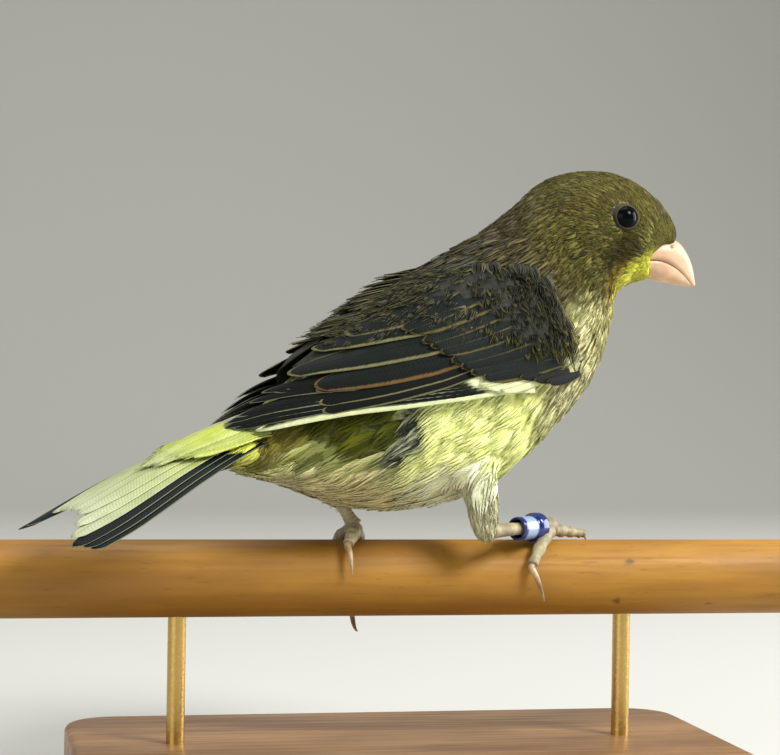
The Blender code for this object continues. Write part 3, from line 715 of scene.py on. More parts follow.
@dataclass(frozen=True)
class WoodFinish:
    """Planed wood with long grain and small dark specks."""

    name: str
    tint: tuple[float, float, float]
    deep: tuple[float, float, float]
    speck: tuple[float, float, float]
    roughness: float = 0.5
    specks: float = 0.5

    def make(self) -> bpy.types.Material:
        """Builds the material.

        Returns:
            A wood material whose grain runs along x.
        """
        g = Graph(self.name)
        grain = g.noise(g.place((0.05, 1.0, 1.0)), 900.0, 5.0)
        broad = g.noise(g.place((0.25, 1.0, 1.0)), 120.0, 3.0)
        pores = g.noise(g.place((0.12, 1.0, 1.0)), 2600.0, 2.0)
        spots = g.noise(g.place((0.6, 1.0, 1.0)), 240.0, 2.0)
        colour = g.mix(g.ease(broad, 0.35, 0.7), self.tint, self.deep)
        colour = g.mix(g.ease(grain, 0.42, 0.7, 0.0, 0.45), colour, self.deep)
        colour = g.mix(g.ease(pores, 0.62, 0.76, 0.0, 0.4), colour, self.speck)
        colour = g.mix(g.ease(spots, 0.7, 0.76, 0.0, self.specks), colour, self.speck)
        g.feed(g.shader.inputs["Base Color"], colour)
        g.feed(g.shader.inputs["Roughness"], g.ease(grain, 0.3, 0.7, self.roughness - 0.08, self.roughness + 0.12))
        g.relief(grain, 0.00005, 0.6)
        return g.material


@dataclass(frozen=True)
class Marking:
    """An oval area of the plumage in the body frame, with its feathers' tints and rims."""

    x: float
    y: float
    long: float
    tall: float
    web: tuple[float, float, float]
    rim: tuple[float, float, float]
    width: float
    tilt: float = 0.0
    soft: float = 0.35

    def share(self, x: np.ndarray, y: np.ndarray) -> np.ndarray:
        """How far places belong to this area.

        Args:
            x: Along the body axis.
            y: Across it.

        Returns:
            1 inside, falling softly to 0 outside.
        """
        c, s = math.cos(math.radians(self.tilt)), math.sin(math.radians(self.tilt))
        u = (x - self.x) * c + (y - self.y) * s
        v = -(x - self.x) * s + (y - self.y) * c
        away = np.sqrt((u / self.long) ** 2 + (v / self.tall) ** 2)
        return 1.0 - smooth_step(away, 1.0 - self.soft, 1.0 + self.soft)


LEMON = Marking(0, 0, 1, 1, tint(222, 230, 134), tint(236, 242, 164), 0.7)
MARKINGS = (
    Marking(-14.0, -12.5, 9.0, 4.6, tint(206, 208, 160), tint(234, 236, 204), 0.7, -24.0),
    Marking(-28.0, -4.6, 11.5, 5.6, tint(142, 128, 76), tint(206, 196, 144), 0.66, -39.0),
    Marking(-37.5, 3.0, 8.0, 4.6, tint(150, 142, 92), tint(214, 206, 160), 0.66, -30.0),
    Marking(-24.0, 6.8, 11.5, 5.9, tint(52, 57, 6), tint(84, 86, 14), 0.6, -39.0, 0.25),
    Marking(-34.0, 12.5, 6.0, 4.6, tint(92, 84, 32), tint(132, 126, 52), 0.6),
    Marking(-43.0, 14.0, 6.5, 6.0, tint(196, 204, 70), tint(222, 228, 104), 0.6, 0.0, 0.3),
    # Painted shade: this dark patch with pale strokes, between the lemon flank and the green patch, stands for shade
    # there.
    Marking(-15.8, 0.4, 6.8, 2.5, tint(34, 40, 30), tint(150, 152, 122), 0.36, 38.0, 0.4),
    Marking(19.5, -9.7, 15.0, 7.6, tint(92, 80, 44), tint(222, 220, 164), 0.68, 25.0),
    Marking(28.0, -7.5, 8.0, 7.0, tint(92, 82, 42), tint(222, 218, 154), 0.7, 30.0),
    Marking(4.0, 19.0, 32.0, 9.5, tint(20, 22, 14), tint(88, 80, 50), 0.46, 0.0, 0.2),
    Marking(21.0, 8.0, 9.0, 9.0, tint(28, 28, 16), tint(100, 90, 50), 0.5),
    Marking(43.0, 6.0, 15.5, 16.0, tint(36, 33, 9), tint(120, 113, 46), 0.6, 0.0, 0.2),
    Marking(30.0, 6.0, 7.5, 9.5, tint(38, 36, 12), tint(118, 110, 50), 0.6),
    Marking(38.0, -0.6, 4.6, 2.8, tint(28, 27, 7), tint(76, 70, 24), 0.56),
    Marking(45.0, -1.6, 3.6, 2.6, tint(60, 56, 20), tint(134, 128, 56), 0.62),
    Marking(39.5, 9.4, 8.0, 1.7, tint(42, 37, 11), tint(114, 102, 42), 0.62, -24.0),
    Marking(33.5, -3.6, 4.6, 2.0, tint(84, 66, 18), tint(134, 112, 38), 0.7, 14.0),
    Marking(38.4, -6.2, 6.4, 3.3, tint(216, 214, 56), tint(242, 240, 96), 0.75, 10.0),
    Marking(34.2, -8.0, 5.0, 2.9, tint(208, 200, 80), tint(238, 232, 130), 0.75, 24.0),
)
THIGH = Marking(0, 0, 1, 1, tint(138, 132, 94), tint(206, 204, 164), 0.64)


def markings_at(points: np.ndarray) -> tuple[np.ndarray, np.ndarray, np.ndarray]:
    """The plumage's markings at places on the body, for skin and coat alike, with one patch of painted shade behind the
    lemon flank.

    Args:
        points: Points (f, l, z) with the head straight.

    Returns:
        Feather centre colour, rim colour and rim width at each.
    """
    x, y = to_body(points)
    web = np.tile(LEMON.web, (len(points), 1))
    rim = np.tile(LEMON.rim, (len(points), 1))
    width = np.full(len(points), LEMON.width)
    for area in MARKINGS:
        share = area.share(x, y)
        web += (np.array(area.web) - web) * share[:, None]
        rim += (np.array(area.rim) - rim) * share[:, None]
        width += (area.width - width) * share
    return web, rim, width


@dataclass(frozen=True)
class VanePattern:
    """The flat cut of one kind of feather, its outer part split into barbs."""

    columns: int = 6
    rows: int = 5
    split: int = 2
    root: float = 0.45
    widest: float = 0.55
    point: float = 0.3
    thickness: float = 0.05
    camber: float = 0.12
    ragged: float = 0.18
    taper: float = 0.8
    round_end: float = 0.0

    def width(self, u: np.ndarray) -> np.ndarray:
        """Half width at shares of the length.

        Args:
            u: 0 at the root, 1 at the tip.

        Returns:
            Share of the greatest half width.
        """
        rise = self.root + (1.0 - self.root) * smooth_step(u, 0.0, self.widest)
        fall = 1.0 - (1.0 - self.point) * np.clip((u - self.widest) / (1.0 - self.widest), 0.0, 1.0) ** 2.2
        return rise * fall

    def cut(self, seed: int) -> "VaneCut":
        """Cuts one feather.

        Args:
            seed: Seed of its ragged edges.

        Returns:
            The cut, closed all round.
        """
        rng = np.random.default_rng(seed)
        bm = bmesh.new()
        uv = bm.loops.layers.uv.new("vane")
        bmesh.ops.create_grid(bm, x_segments=self.columns, y_segments=self.rows, size=1.0)
        for vert in bm.verts:
            vert.co.y = (vert.co.y + 1.0) / 2.0
        for face in bm.faces:
            for loop in face.loops:
                loop[uv].uv = (0.5 + loop.vert.co.x / 2.0, loop.vert.co.y)
        start = 1.0 - self.split / self.rows
        parted = [
            e for e in bm.edges
            if abs(e.verts[0].co.x - e.verts[1].co.x) < 1e-6
            and min(v.co.y for v in e.verts) > start - 1e-6
            and abs(e.verts[0].co.x) < 1.0 - 1e-6
        ]
        if parted:
            bmesh.ops.split_edges(bm, edges=parted)
        reach = rng.uniform(1.0 - self.ragged, 1.0 + self.ragged * 0.5, self.columns)
        drift = rng.uniform(-0.5, 0.5, self.columns) * 1.2 / self.columns
        droop = rng.uniform(-1.0, 1.0, self.columns)
        for vert in bm.verts:
            x, y = vert.co.x, vert.co.y
            height = -self.camber * x * x
            if y > start + 1e-6 and parted:
                mid = sum(f.calc_center_median().x for f in vert.link_faces) / len(vert.link_faces)
                column = int(np.clip((mid + 1.0) / 2.0 * self.columns, 0, self.columns - 1))
                centre = -1.0 + (2.0 * column + 1.0) / self.columns
                u = (y - start) / (1.0 - start)
                x = centre + (x - centre) * (1.0 - self.taper * u**1.3) + drift[column] * u
                y = start + (y - start) * reach[column] * (1.0 - 0.3 * centre * centre)
                height += 0.08 * droop[column] * u
            wide = x * float(self.width(np.array(min(y, 1.0))))
            y -= self.round_end * x * x * float(smooth_step(y, 0.7, 1.0))
            vert.co = Vector((wide, y, height))
        bmesh.ops.solidify(bm, geom=bm.faces[:], thickness=self.thickness)
        bmesh.ops.recalc_face_normals(bm, faces=bm.faces)
        bm.verts.index_update()
        cut = VaneCut(
            np.array([v.co for v in bm.verts]),
            [[v.index for v in f.verts] for f in bm.faces],
            np.array([loop[uv].uv for f in bm.faces for loop in f.loops]),
        )
        bm.free()
        return cut


@dataclass(frozen=True)
class VaneCut:
    """One cut feather: across, along and height of each point, its faces and its vane map."""

    points: np.ndarray
    faces: list[list[int]]
    vane: np.ndarray


@dataclass
class FeatherBatch:
    """Feathers laid out in the model's millimetres, ready to be joined."""

    points: list[np.ndarray] = field(default_factory=list)
    cuts: list[VaneCut] = field(default_factory=list)
    web: list[np.ndarray] = field(default_factory=list)
    rim: list[np.ndarray] = field(default_factory=list)
    mark: list[np.ndarray] = field(default_factory=list)
    patch: list[tuple[float, float, float, float]] = field(default_factory=list)

    def add(
        self,
        points: np.ndarray,
        cut: VaneCut,
        web: np.ndarray,
        rim: np.ndarray,
        mark: np.ndarray,
        patch: tuple[float, float, float, float],
    ) -> None:
        """Adds one feather.

        Args:
            points: Place of each of the cut's points.
            cut: The cut.
            web: Centre colour and tone, for the feather or each point.
            rim: Rim colour, for the feather or each point.
            mark: Widths of the outer, inner and tip rims, for the feather or each point.
            patch: Centre and size of its place on the baking map.
        """
        count = len(cut.points)
        self.points.append(points)
        self.cuts.append(cut)
        self.web.append(np.broadcast_to(web, (count, 4)))
        self.rim.append(np.broadcast_to(rim, (count, 4)))
        self.mark.append(np.broadcast_to(mark, (count, 3)))
        self.patch.append(patch)

    def join(self, name: str, finish: bpy.types.Material) -> bpy.types.Object:
        """Joins the feathers as one piece.

        Args:
            name: The piece's name.
            finish: Its material.

        Returns:
            The new object.
        """
        mesh = bpy.data.meshes.new(name)
        points = np.concatenate(self.points) * MM
        starts = np.cumsum([0, *(len(p) for p in self.points)])[:-1]
        corners, totals, vane, patch = [], [], [], []
        for cut, start, (u, v, wide, tall) in zip(self.cuts, starts, self.patch):
            corners.append(np.concatenate([np.array(f) + start for f in cut.faces]))
            totals.append(np.array([len(f) for f in cut.faces]))
            vane.append(cut.vane)
            patch.append((cut.vane - 0.5) * (wide, tall) + (u, v))
        corners, totals = np.concatenate(corners), np.concatenate(totals)
        mesh.vertices.add(len(points))
        mesh.vertices.foreach_set("co", points.astype(np.float32).ravel())
        mesh.loops.add(len(corners))
        mesh.loops.foreach_set("vertex_index", corners.astype(np.int32))
        mesh.polygons.add(len(totals))
        mesh.polygons.foreach_set("loop_start", (np.cumsum(totals) - totals).astype(np.int32))
        mesh.polygons.foreach_set("use_smooth", np.ones(len(totals), bool))
        mesh.update(calc_edges=True)
        for label, values in (("vane", vane), ("OFBake", patch)):
            layer = mesh.uv_layers.new(name=label)
            layer.data.foreach_set("uv", np.concatenate(values).astype(np.float32).ravel())
        for label, values in (("web", self.web), ("rim", self.rim)):
            layer = mesh.attributes.new(label, "FLOAT_COLOR", "POINT")
            layer.data.foreach_set("color", np.concatenate(values).astype(np.float32).ravel())
        layer = mesh.attributes.new("mark", "FLOAT_VECTOR", "POINT")
        layer.data.foreach_set("vector", np.concatenate(self.mark).astype(np.float32).ravel())
        mesh.materials.append(finish)
        obj = bpy.data.objects.new(name, mesh)
        bpy.context.scene.collection.objects.link(obj)
        return obj


THIGHS = {
    Side.RIGHT: [
        ((-0.4, -8.4, 22.0), 4.6), ((0.8, -9.6, 18.0), 3.9), ((1.8, -10.6, 14.6), 2.95),
        ((2.2, -11.3, 11.0), 2.75), ((2.45, -11.7, 8.2), 2.4), ((2.6, -11.8, 6.7), 1.3),
    ],
    Side.LEFT: [
        ((-13.0, 6.6, 21.5), 4.4), ((-14.8, 5.8, 17.8), 3.9), ((-16.4, 5.2, 14.8), 3.0),
        ((-17.3, 4.8, 12.9), 2.3), ((-17.7, 4.6, 11.9), 1.6),
    ],
}


# f and z of the line on the cheek where the feathers end at the bill
FACE_EDGE = np.array([
    (38.8, 50.2), (37.7, 51.4), (37.0, 52.8), (36.8, 54.5), (37.2, 55.7), (38.6, 56.6), (41.2, 57.3), (43.0, 57.9),
])


@dataclass
class Skin:
    """The one skin from bill to tail root, thighs included, inside the solids by the coat's depth."""

    tail: "Tail"
    body_depth: float = 0.75
    head_depth: float = 0.5
    thigh_depth: float = 0.45
    voxel: float = 0.6
    sides: int = 40
    points: np.ndarray = field(default_factory=lambda: np.zeros((0, 3)))
    normals: np.ndarray = field(default_factory=lambda: np.zeros((0, 3)))
    triangles: np.ndarray = field(default_factory=lambda: np.zeros((0, 3), int))
    tree: BVHTree | None = None

    def body_ribs(self) -> list[np.ndarray]:
        """Sections from the tail's root to the bill's base."""
        ribs = []
        for x in np.arange(-38.0, 33.0, 1.5):
            top, bottom, half = read_table(BODY, x)[0]
            d = self.body_depth - (self.body_depth - self.head_depth) * float(smooth_step(x, 24, 33))
            ends = from_body(np.array([x, x]), np.array([top - d, bottom + d]), 0.0)
            ribs.append(rib(ends[0], ends[1], half - d, BODY_POWER, self.sides))
        d = self.head_depth
        steps = np.linspace(0, len(HEAD) - 1, 30)
        rows = read_table(np.column_stack([np.arange(len(HEAD)), HEAD]), steps)
        for tx, ty, bx, by, half in rows:
            line = np.array([tx - bx, ty - by])
            line = line / np.linalg.norm(line)
            top = from_body(tx - line[0] * d, ty - line[1] * d, 0.0)
            bottom = from_body(bx + line[0] * d, by + line[1] * d, 0.0)
            ribs.append(rib(top, bottom, half - d, 2.1, self.sides))
        return ribs

    def give_way(self, points: np.ndarray) -> np.ndarray:
        """Draws the skin in behind the bill's base, so that the bill starts at the gape.

        Args:
            points: Skin points (f, l, z).

        Returns:
            The points, those in front of the face's edge drawn in.
        """
        f, l, z = points[:, 0], points[:, 1], points[:, 2]
        edge = np.interp(z, FACE_EDGE[:, 1], FACE_EDGE[:, 0])
        ahead = smooth_step(f, edge - 0.5, edge + 0.7)
        inside = (z > FACE_EDGE[0, 1] - 1.0) & (z < FACE_EDGE[-1, 1] + 0.6) & (f > 33.0)
        ahead = np.where(inside, ahead, 0.0)
        keep = np.minimum(np.abs(l), 2.6)
        moved = points.copy()
        moved[:, 1] = np.sign(l) * (np.abs(l) * (1.0 - ahead) + keep * ahead)
        moved[:, 0] = f * (1.0 - ahead) + np.minimum(f, edge + 0.3) * ahead
        return moved

    def build(self) -> bpy.types.Object:
        """Fuses the body with the thighs as one smooth skin.

        Returns:
            The skin, in the model's metres.
        """
        bm = bmesh.new()
        loft(bm, self.body_ribs())
        loft(bm, self.tail.root_ribs(self.sides, 0.5))
        for rows in THIGHS.values():
            path = [p for p, _ in rows]
            loft(bm, tube_ribs(np.array(path), [max(r - self.thigh_depth, 0.8) for _, r in rows], 24))
        skin = to_object("skin", bm, SkinFinish().make(), 1.0)
        modifier = skin.modifiers.new("fuse", "REMESH")
        modifier.mode = "VOXEL"
        modifier.voxel_size = self.voxel
        bake_modifiers(skin)
        bm = bmesh.new()
        bm.from_mesh(skin.data)
        place_all(bm, self.give_way)
        for _ in range(6):
            bmesh.ops.smooth_vert(bm, verts=bm.verts, factor=0.5, use_axis_x=True, use_axis_y=True, use_axis_z=True)
        bmesh.ops.triangulate(bm, faces=bm.faces)
        bm.normal_update()
        bm.verts.index_update()
        self.points = np.array([v.co for v in bm.verts])
        self.normals = np.array([v.normal for v in bm.verts])
        self.triangles = np.array([[v.index for v in f.verts] for f in bm.faces])
        self.tree = BVHTree.FromBMesh(bm)
        place_all(bm, lambda p: settle(p) * MM)
        bm.to_mesh(skin.data)
        bm.free()
        web, rim, _ = markings_at(self.points)
        for label, values in (("web", web), ("rim", rim)):
            layer = skin.data.attributes.new(label, "FLOAT_COLOR", "POINT")
            layer.data.foreach_set("color", np.column_stack([values, np.ones(len(values))]).astype(np.float32).ravel())
        for face in skin.data.polygons:
            face.use_smooth = True
        return add_to_frame(skin, "torso", "head", "neck", "torso", "rump", "thigh_right", "thigh_left")

    def nearest(self, places: np.ndarray) -> tuple[np.ndarray, np.ndarray]:
        """Nearest skin points and their normals.

        Args:
            places: Points (f, l, z).

        Returns:
            Points on the skin and unit normals there.
        """
        found = [self.tree.find_nearest(Vector(p)) for p in places]
        spots = np.array([f[0] for f in found])
        corners = self.triangles[[f[2] for f in found]]
        gaps = np.linalg.norm(self.points[corners] - spots[:, None], axis=2) + 1e-6
        weights = 1.0 / gaps
        normals = (self.normals[corners] * weights[:, :, None]).sum(axis=1)
        return spots, normals / np.linalg.norm(normals, axis=1, keepdims=True)


def leg_distance(points: np.ndarray, side: Side) -> tuple[np.ndarray, np.ndarray]:
    """How far points lie from a thigh's middle line, and its direction there.

    Args:
        points: Points (f, l, z).
        side: Which thigh.

    Returns:
        Distance over the thigh's radius, and unit directions down the leg.
    """
    rows = THIGHS[side]
    path = np.array([p for p, _ in rows])
    radii = np.array([r for _, r in rows])
    best = np.full(len(points), 1e9)
    down = np.zeros((len(points), 3))
    for a, b, ra, rb in zip(path, path[1:], radii, radii[1:]):
        line = b - a
        u = np.clip(((points - a) @ line) / (line @ line), 0.0, 1.0)
        ratio = np.linalg.norm(points - (a + u[:, None] * line), axis=1) / (ra + (rb - ra) * u)
        closer = ratio < best
        best = np.where(closer, ratio, best)
        down[closer] = line / np.linalg.norm(line)
    return best, down


@dataclass(frozen=True)
class Tract:
    """One tract of small feathers: where it grows and the size of its feathers."""

    name: str
    slot: str
    length: float
    half: float
    cover: float
    lift: float
    pattern: VanePattern
    ruffle: float = 0.12
    uneven: float = 1.0


FINE = VanePattern(4, 3, 2, 0.5, 0.5, 0.35, 0.04, 0.16, 0.3)
SOFT = VanePattern(5, 4, 2, 0.5, 0.5, 0.3, 0.035, 0.16, 0.25)
TRACTS = {
    "head": Tract("coat_head", "head", 3.3, 0.5, 14.0, 0.42, FINE, 0.14),
    "face": Tract("coat_face", "head", 1.6, 0.28, 13.0, 0.26, FINE, 0.14),
    "neck": Tract("coat_neck", "neck", 4.8, 0.8, 13.0, 0.62, FINE, 0.14),
    "breast": Tract("coat_breast", "torso", 6.0, 1.15, 12.0, 0.72, SOFT),
    "belly": Tract("coat_belly", "torso", 8.5, 1.8, 12.0, 0.85, SOFT, 0.13, 0.4),
    "back": Tract("coat_back", "torso", 6.5, 1.35, 9.0, 0.7, FINE),
    "vent": Tract("coat_vent", "rump", 8.5, 1.6, 12.0, 0.8, SOFT, 0.16),
    "thigh": Tract("coat_thighs", "thigh", 4.6, 0.6, 12.0, 0.3, FINE, 0.06, 0.8),
}
TRACT_ORDER = tuple(TRACTS)
EYE_F = 31.1
EYE_Z = 61.0
BILL_ROOT = np.array([41.0, 0.0, 54.2])


@dataclass
class Coat:
    """The small body feathers, laid over the skin along the lie of the plumage."""

    skin: Skin
    eye_l: float
    seed: int = 7
    stations: int = 4

    def lie(self, points: np.ndarray, normals: np.ndarray) -> np.ndarray:
        """Direction in which feathers lie.

        Args:
            points: Places on the skin.
            normals: Unit normals there.

        Returns:
            Unit directions along the skin.
        """
        x, _ = to_body(points)
        away = points - BILL_ROOT
        away = away / np.linalg.norm(away, axis=1, keepdims=True)
        back = np.array([-math.cos(BODY_PITCH), 0.0, -math.sin(BODY_PITCH)])
        share = smooth_step(x, 25.0, 39.0)[:, None]
        way = away * share + back * (1.0 - share)
        for side in Side:
            near, down = leg_distance(points, side)
            _, y = to_body(points)
            hold = ((1.0 - smooth_step(near, 1.0, 1.7)) * (1.0 - smooth_step(points[:, 2], 15.5, 20.0)))[:, None]
            way = way * (1.0 - hold) + down * hold
            eye = np.array([EYE_F, side.value * self.eye_l, EYE_Z])
            gap = points - eye
            far = np.linalg.norm(gap, axis=1, keepdims=True)
            push = np.clip(1.0 - (far - 2.0) / 3.2, 0.0, 1.0)
            way = way + gap / far * push * 1.1
        way = way - normals * (way * normals).sum(axis=1, keepdims=True)
        return way / np.linalg.norm(way, axis=1, keepdims=True)

    def tract_of(self, points: np.ndarray) -> np.ndarray:
        """Which tract each place belongs to.

        Args:
            points: Places on the skin.

        Returns:
            Index into TRACT_ORDER.
        """
        x, y = to_body(points)
        index = {name: k for k, name in enumerate(TRACT_ORDER)}
        tract = np.full(len(points), index["belly"])
        tract[(y < -3.0) & (x > 8.0)] = index["breast"]
        tract[y > 6.0] = index["back"]
        tract[(x > 8.0) & (y > -4.0) & (y <= 6.0)] = index["breast"]
        tract[(x < -24.0) & (y <= 12.0)] = index["vent"]
        tract[x > 25.0] = index["neck"]
        tract[x > 33.0] = index["head"]
        front = np.linalg.norm(points - BILL_ROOT, axis=1)
        eye = np.array([EYE_F, 0.0, EYE_Z])
        sides = np.column_stack([points[:, 0], np.zeros(len(points)), points[:, 2]])
        near_eye = (np.linalg.norm(sides - eye, axis=1) < 4.2) & (np.abs(points[:, 1]) > 5.0)
        tract[(front < 8.0) | near_eye] = index["face"]
        for side in Side:
            near, _ = leg_distance(points, side)
            tract[(near < 1.15) & (points[:, 2] < 17.5)] = index["thigh"]
        return tract

    def roots(self, rng: np.random.Generator) -> tuple[np.ndarray, np.ndarray, np.ndarray]:
        """Scatters the feathers' roots over the skin.

        Args:
            rng: The draw.

        Returns:
            Places, normals and tract of each root.
        """
        corners = self.skin.points[self.skin.triangles]
        middle = corners.mean(axis=1)
        area = np.linalg.norm(np.cross(corners[:, 1] - corners[:, 0], corners[:, 2] - corners[:, 0]), axis=1) / 2
        tract = self.tract_of(middle)
        density = np.array([TRACTS[n].cover / (TRACTS[n].length * TRACTS[n].half * 2.0) for n in TRACT_ORDER])
        x, y = to_body(middle)
        hidden = (x > -26.0) & (x < 16.0) & (np.abs(middle[:, 1]) > 5.0) & (y > 1.0 + 0.25 * (x + 10.0))
        edge = np.interp(middle[:, 2], FACE_EDGE[:, 1], FACE_EDGE[:, 0])
        bill = (middle[:, 0] > edge + 0.15) & (middle[:, 2] < 58.6) & (middle[:, 2] > 50.0)
        wanted = area * density[tract] * np.where(hidden, 0.35, 1.0) * np.where(bill, 0.0, 1.0)
        count = rng.poisson(wanted)
        chosen = np.repeat(np.arange(len(middle)), count)
        weights = rng.dirichlet((1.0, 1.0, 1.0), len(chosen))
        places = (corners[chosen] * weights[:, :, None]).sum(axis=1)
        normals = (self.skin.normals[self.skin.triangles[chosen]] * weights[:, :, None]).sum(axis=1)
        normals = normals / np.linalg.norm(normals, axis=1, keepdims=True)
        clear = np.ones(len(places), bool)
        for side in Side:
            eye = np.array([EYE_F, side.value * self.eye_l, EYE_Z])
            clear &= np.linalg.norm(places - eye, axis=1) > 2.45
        return places[clear], normals[clear], tract[chosen][clear]

    def comb(self, places: np.ndarray, normals: np.ndarray, length: np.ndarray, lift: np.ndarray, sway: np.ndarray) -> tuple[np.ndarray, np.ndarray]:
        """Lays feathers along the skin from their roots.

        Args:
            places: Roots.
            normals: Normals there.
            length: Length of each feather.
            lift: How far each tip stands off the skin.
            sway: Sideways turn of each feather, in radians.

        Returns:
            Points and normals at each station of each feather.
        """
        way = self.lie(places, normals)
        beside = np.cross(normals, way)
        way = way * np.cos(sway)[:, None] + beside * np.sin(sway)[:, None]
        spots = [places - normals * 0.12]
        ups = [normals]
        here = places
        for k in range(1, self.stations):
            here = here + way * (length / (self.stations - 1))[:, None]
            ground, normals = self.skin.nearest(here)
            share = k / (self.stations - 1)
            spots.append(ground + normals * (lift * share**0.9)[:, None])
            ups.append(normals)
            fresh = self.lie(ground, normals)
            way = way - normals * (way * normals).sum(axis=1, keepdims=True)
            way = way / np.linalg.norm(way, axis=1, keepdims=True) * 0.6 + fresh * 0.4
            way = way / np.linalg.norm(way, axis=1, keepdims=True)
            here = ground
        return np.stack(spots, axis=1), np.stack(ups, axis=1)

    def unwrap(self, places: np.ndarray, tract: np.ndarray) -> np.ndarray:
        """Place of each root on an unwrap of the skin's own shape, round and along the body.

        Args:
            places: Roots.
            tract: Their tracts.

        Returns:
            Places on the baking map.
        """
        x, y = to_body(places)
        round_body = np.arctan2(places[:, 1], y - 1.0) / (2 * math.pi) + 0.5
        u = 0.02 + 0.96 * round_body
        v = 0.02 + 0.74 * np.clip((x + 42.0) / 96.0, 0.0, 1.0)
        for k, side in enumerate(Side):
            legs = (tract == TRACT_ORDER.index("thigh")) & (np.sign(places[:, 1]) == side.value)
            near = np.array([THIGHS[side][2][0]])
            angle = np.arctan2(places[:, 1] - near[0, 1], places[:, 0] - near[0, 0]) / (2 * math.pi) + 0.5
            u = np.where(legs, 0.02 + 0.45 * angle + 0.5 * k, u)
            v = np.where(legs, 0.8 + 0.18 * np.clip((places[:, 2] - 4.0) / 16.0, 0.0, 1.0), v)
        return np.column_stack([u, v])

    def build(self) -> None:
        """Scatters, combs and joins the coat, one piece for each tract."""
        rng = np.random.default_rng(self.seed)
        places, normals, tract = self.roots(rng)
        finish = FeatherFinish("coat_finish", 9.0, 0.72, 0.00004, 0.06, 0.2, 0.05, 0.55, 0.8).make()
        for k, name in enumerate(TRACT_ORDER):
            mine = tract == k
            self.grow(TRACTS[name], places[mine], normals[mine], tract[mine], finish, rng)

    def grow(
        self,
        kind: Tract,
        places: np.ndarray,
        normals: np.ndarray,
        tract: np.ndarray,
        finish: bpy.types.Material,
        rng: np.random.Generator,
    ) -> None:
        """Makes the piece of one tract.

        Args:
            kind: The tract.
            places: Its roots.
            normals: Normals there.
            tract: The roots' tract numbers.
            finish: The coat's material.
            rng: The draw.
        """
        count = len(places)
        length = kind.length * rng.uniform(0.8, 1.15, count)
        half = kind.half * rng.uniform(0.8, 1.15, count)
        lift = kind.lift * rng.uniform(0.65, 1.2, count)
        spots, ups = self.comb(places, normals, length, lift, rng.normal(0.0, kind.ruffle, count))
        keep = np.ones(count, bool)
        for side in Side:
            eye = np.array([EYE_F, side.value * self.eye_l, EYE_Z])
            keep &= (np.linalg.norm(spots - eye, axis=2) > 2.36).all(axis=1)
        web, rim, width = markings_at(spots[:, 2])
        if kind.slot == "thigh":
            web[:], rim[:] = THIGH.web, THIGH.rim
        patches = self.unwrap(places, tract)
        tone = 0.5 + rng.uniform(-0.5, 0.5, count) * kind.uneven
        roll = rng.normal(0.0, 0.18, count)
        cuts = [kind.pattern.cut(40 + n) for n in range(6)]
        pick = rng.integers(0, len(cuts), count)
        batches = [FeatherBatch()]
        faces = 0
        for n in np.flatnonzero(keep):
            cut = cuts[pick[n]]
            points = self.drape(cut, spots[n], ups[n], half[n], roll[n])
            size = sum(len(f) - 2 for f in cut.faces)
            if faces + size > 190000:
                batches.append(FeatherBatch())
                faces = 0
            faces += size
            batches[-1].add(
                settle(points), cut, np.array([*web[n], tone[n]]), np.array([*rim[n], 1.0]),
                np.array([width[n], width[n], width[n] * 0.35]), (*patches[n], 0.003, 0.003),
            )
        for part, batch in enumerate(batches):
            label = kind.name if part == 0 else f"{kind.name}_{part + 1}"
            add_to_frame(batch.join(label, finish), kind.slot)

    def drape(self, cut: VaneCut, spots: np.ndarray, ups: np.ndarray, half: float, roll: float) -> np.ndarray:
        """Bends a cut feather along its stations.

        Args:
            cut: The cut.
            spots: The feather's stations.
            ups: Normals there.
            half: Its half width.
            roll: Its roll about its length.

        Returns:
            Place of each of the cut's points.
        """
        u = np.clip(cut.points[:, 1], 0.0, 1.2) * (len(spots) - 1)
        k = np.clip(u.astype(int), 0, len(spots) - 2)
        t = (u - k)[:, None]
        middle = spots[k] * (1.0 - t) + spots[k + 1] * t
        up = ups[k] * (1.0 - np.clip(t, 0, 1)) + ups[k + 1] * np.clip(t, 0, 1)
        along = spots[k + 1] - spots[k]
        beside = np.cross(along, up)
        beside = beside / np.linalg.norm(beside, axis=1, keepdims=True)
        beside = beside * math.cos(roll) + up * math.sin(roll)
        return middle + beside * (cut.points[:, 0] * half)[:, None] + up * (cut.points[:, 2] * half)[:, None]


def mirrored(cut: VaneCut) -> VaneCut:
    """The same cut with its faces turned over, for use on the other side."""
    starts = np.cumsum([0, *(len(f) for f in cut.faces)])
    vane = np.concatenate([cut.vane[a:b][::-1] for a, b in zip(starts, starts[1:])])
    return VaneCut(cut.points, [f[::-1] for f in cut.faces], vane)


@dataclass(frozen=True)
class Plume:
    """One large feather of a tier: where it lies on its sheet, its size and its colours."""

    base: tuple[float, float]
    tip: tuple[float, float]
    half: float
    heights: tuple[float, float, float]
    web: tuple[float, float, float]
    rim: tuple[float, float, float]
    mark: tuple[float, float, float]
    bow: float = 0.25
    end_web: tuple[float, float, float] | None = None


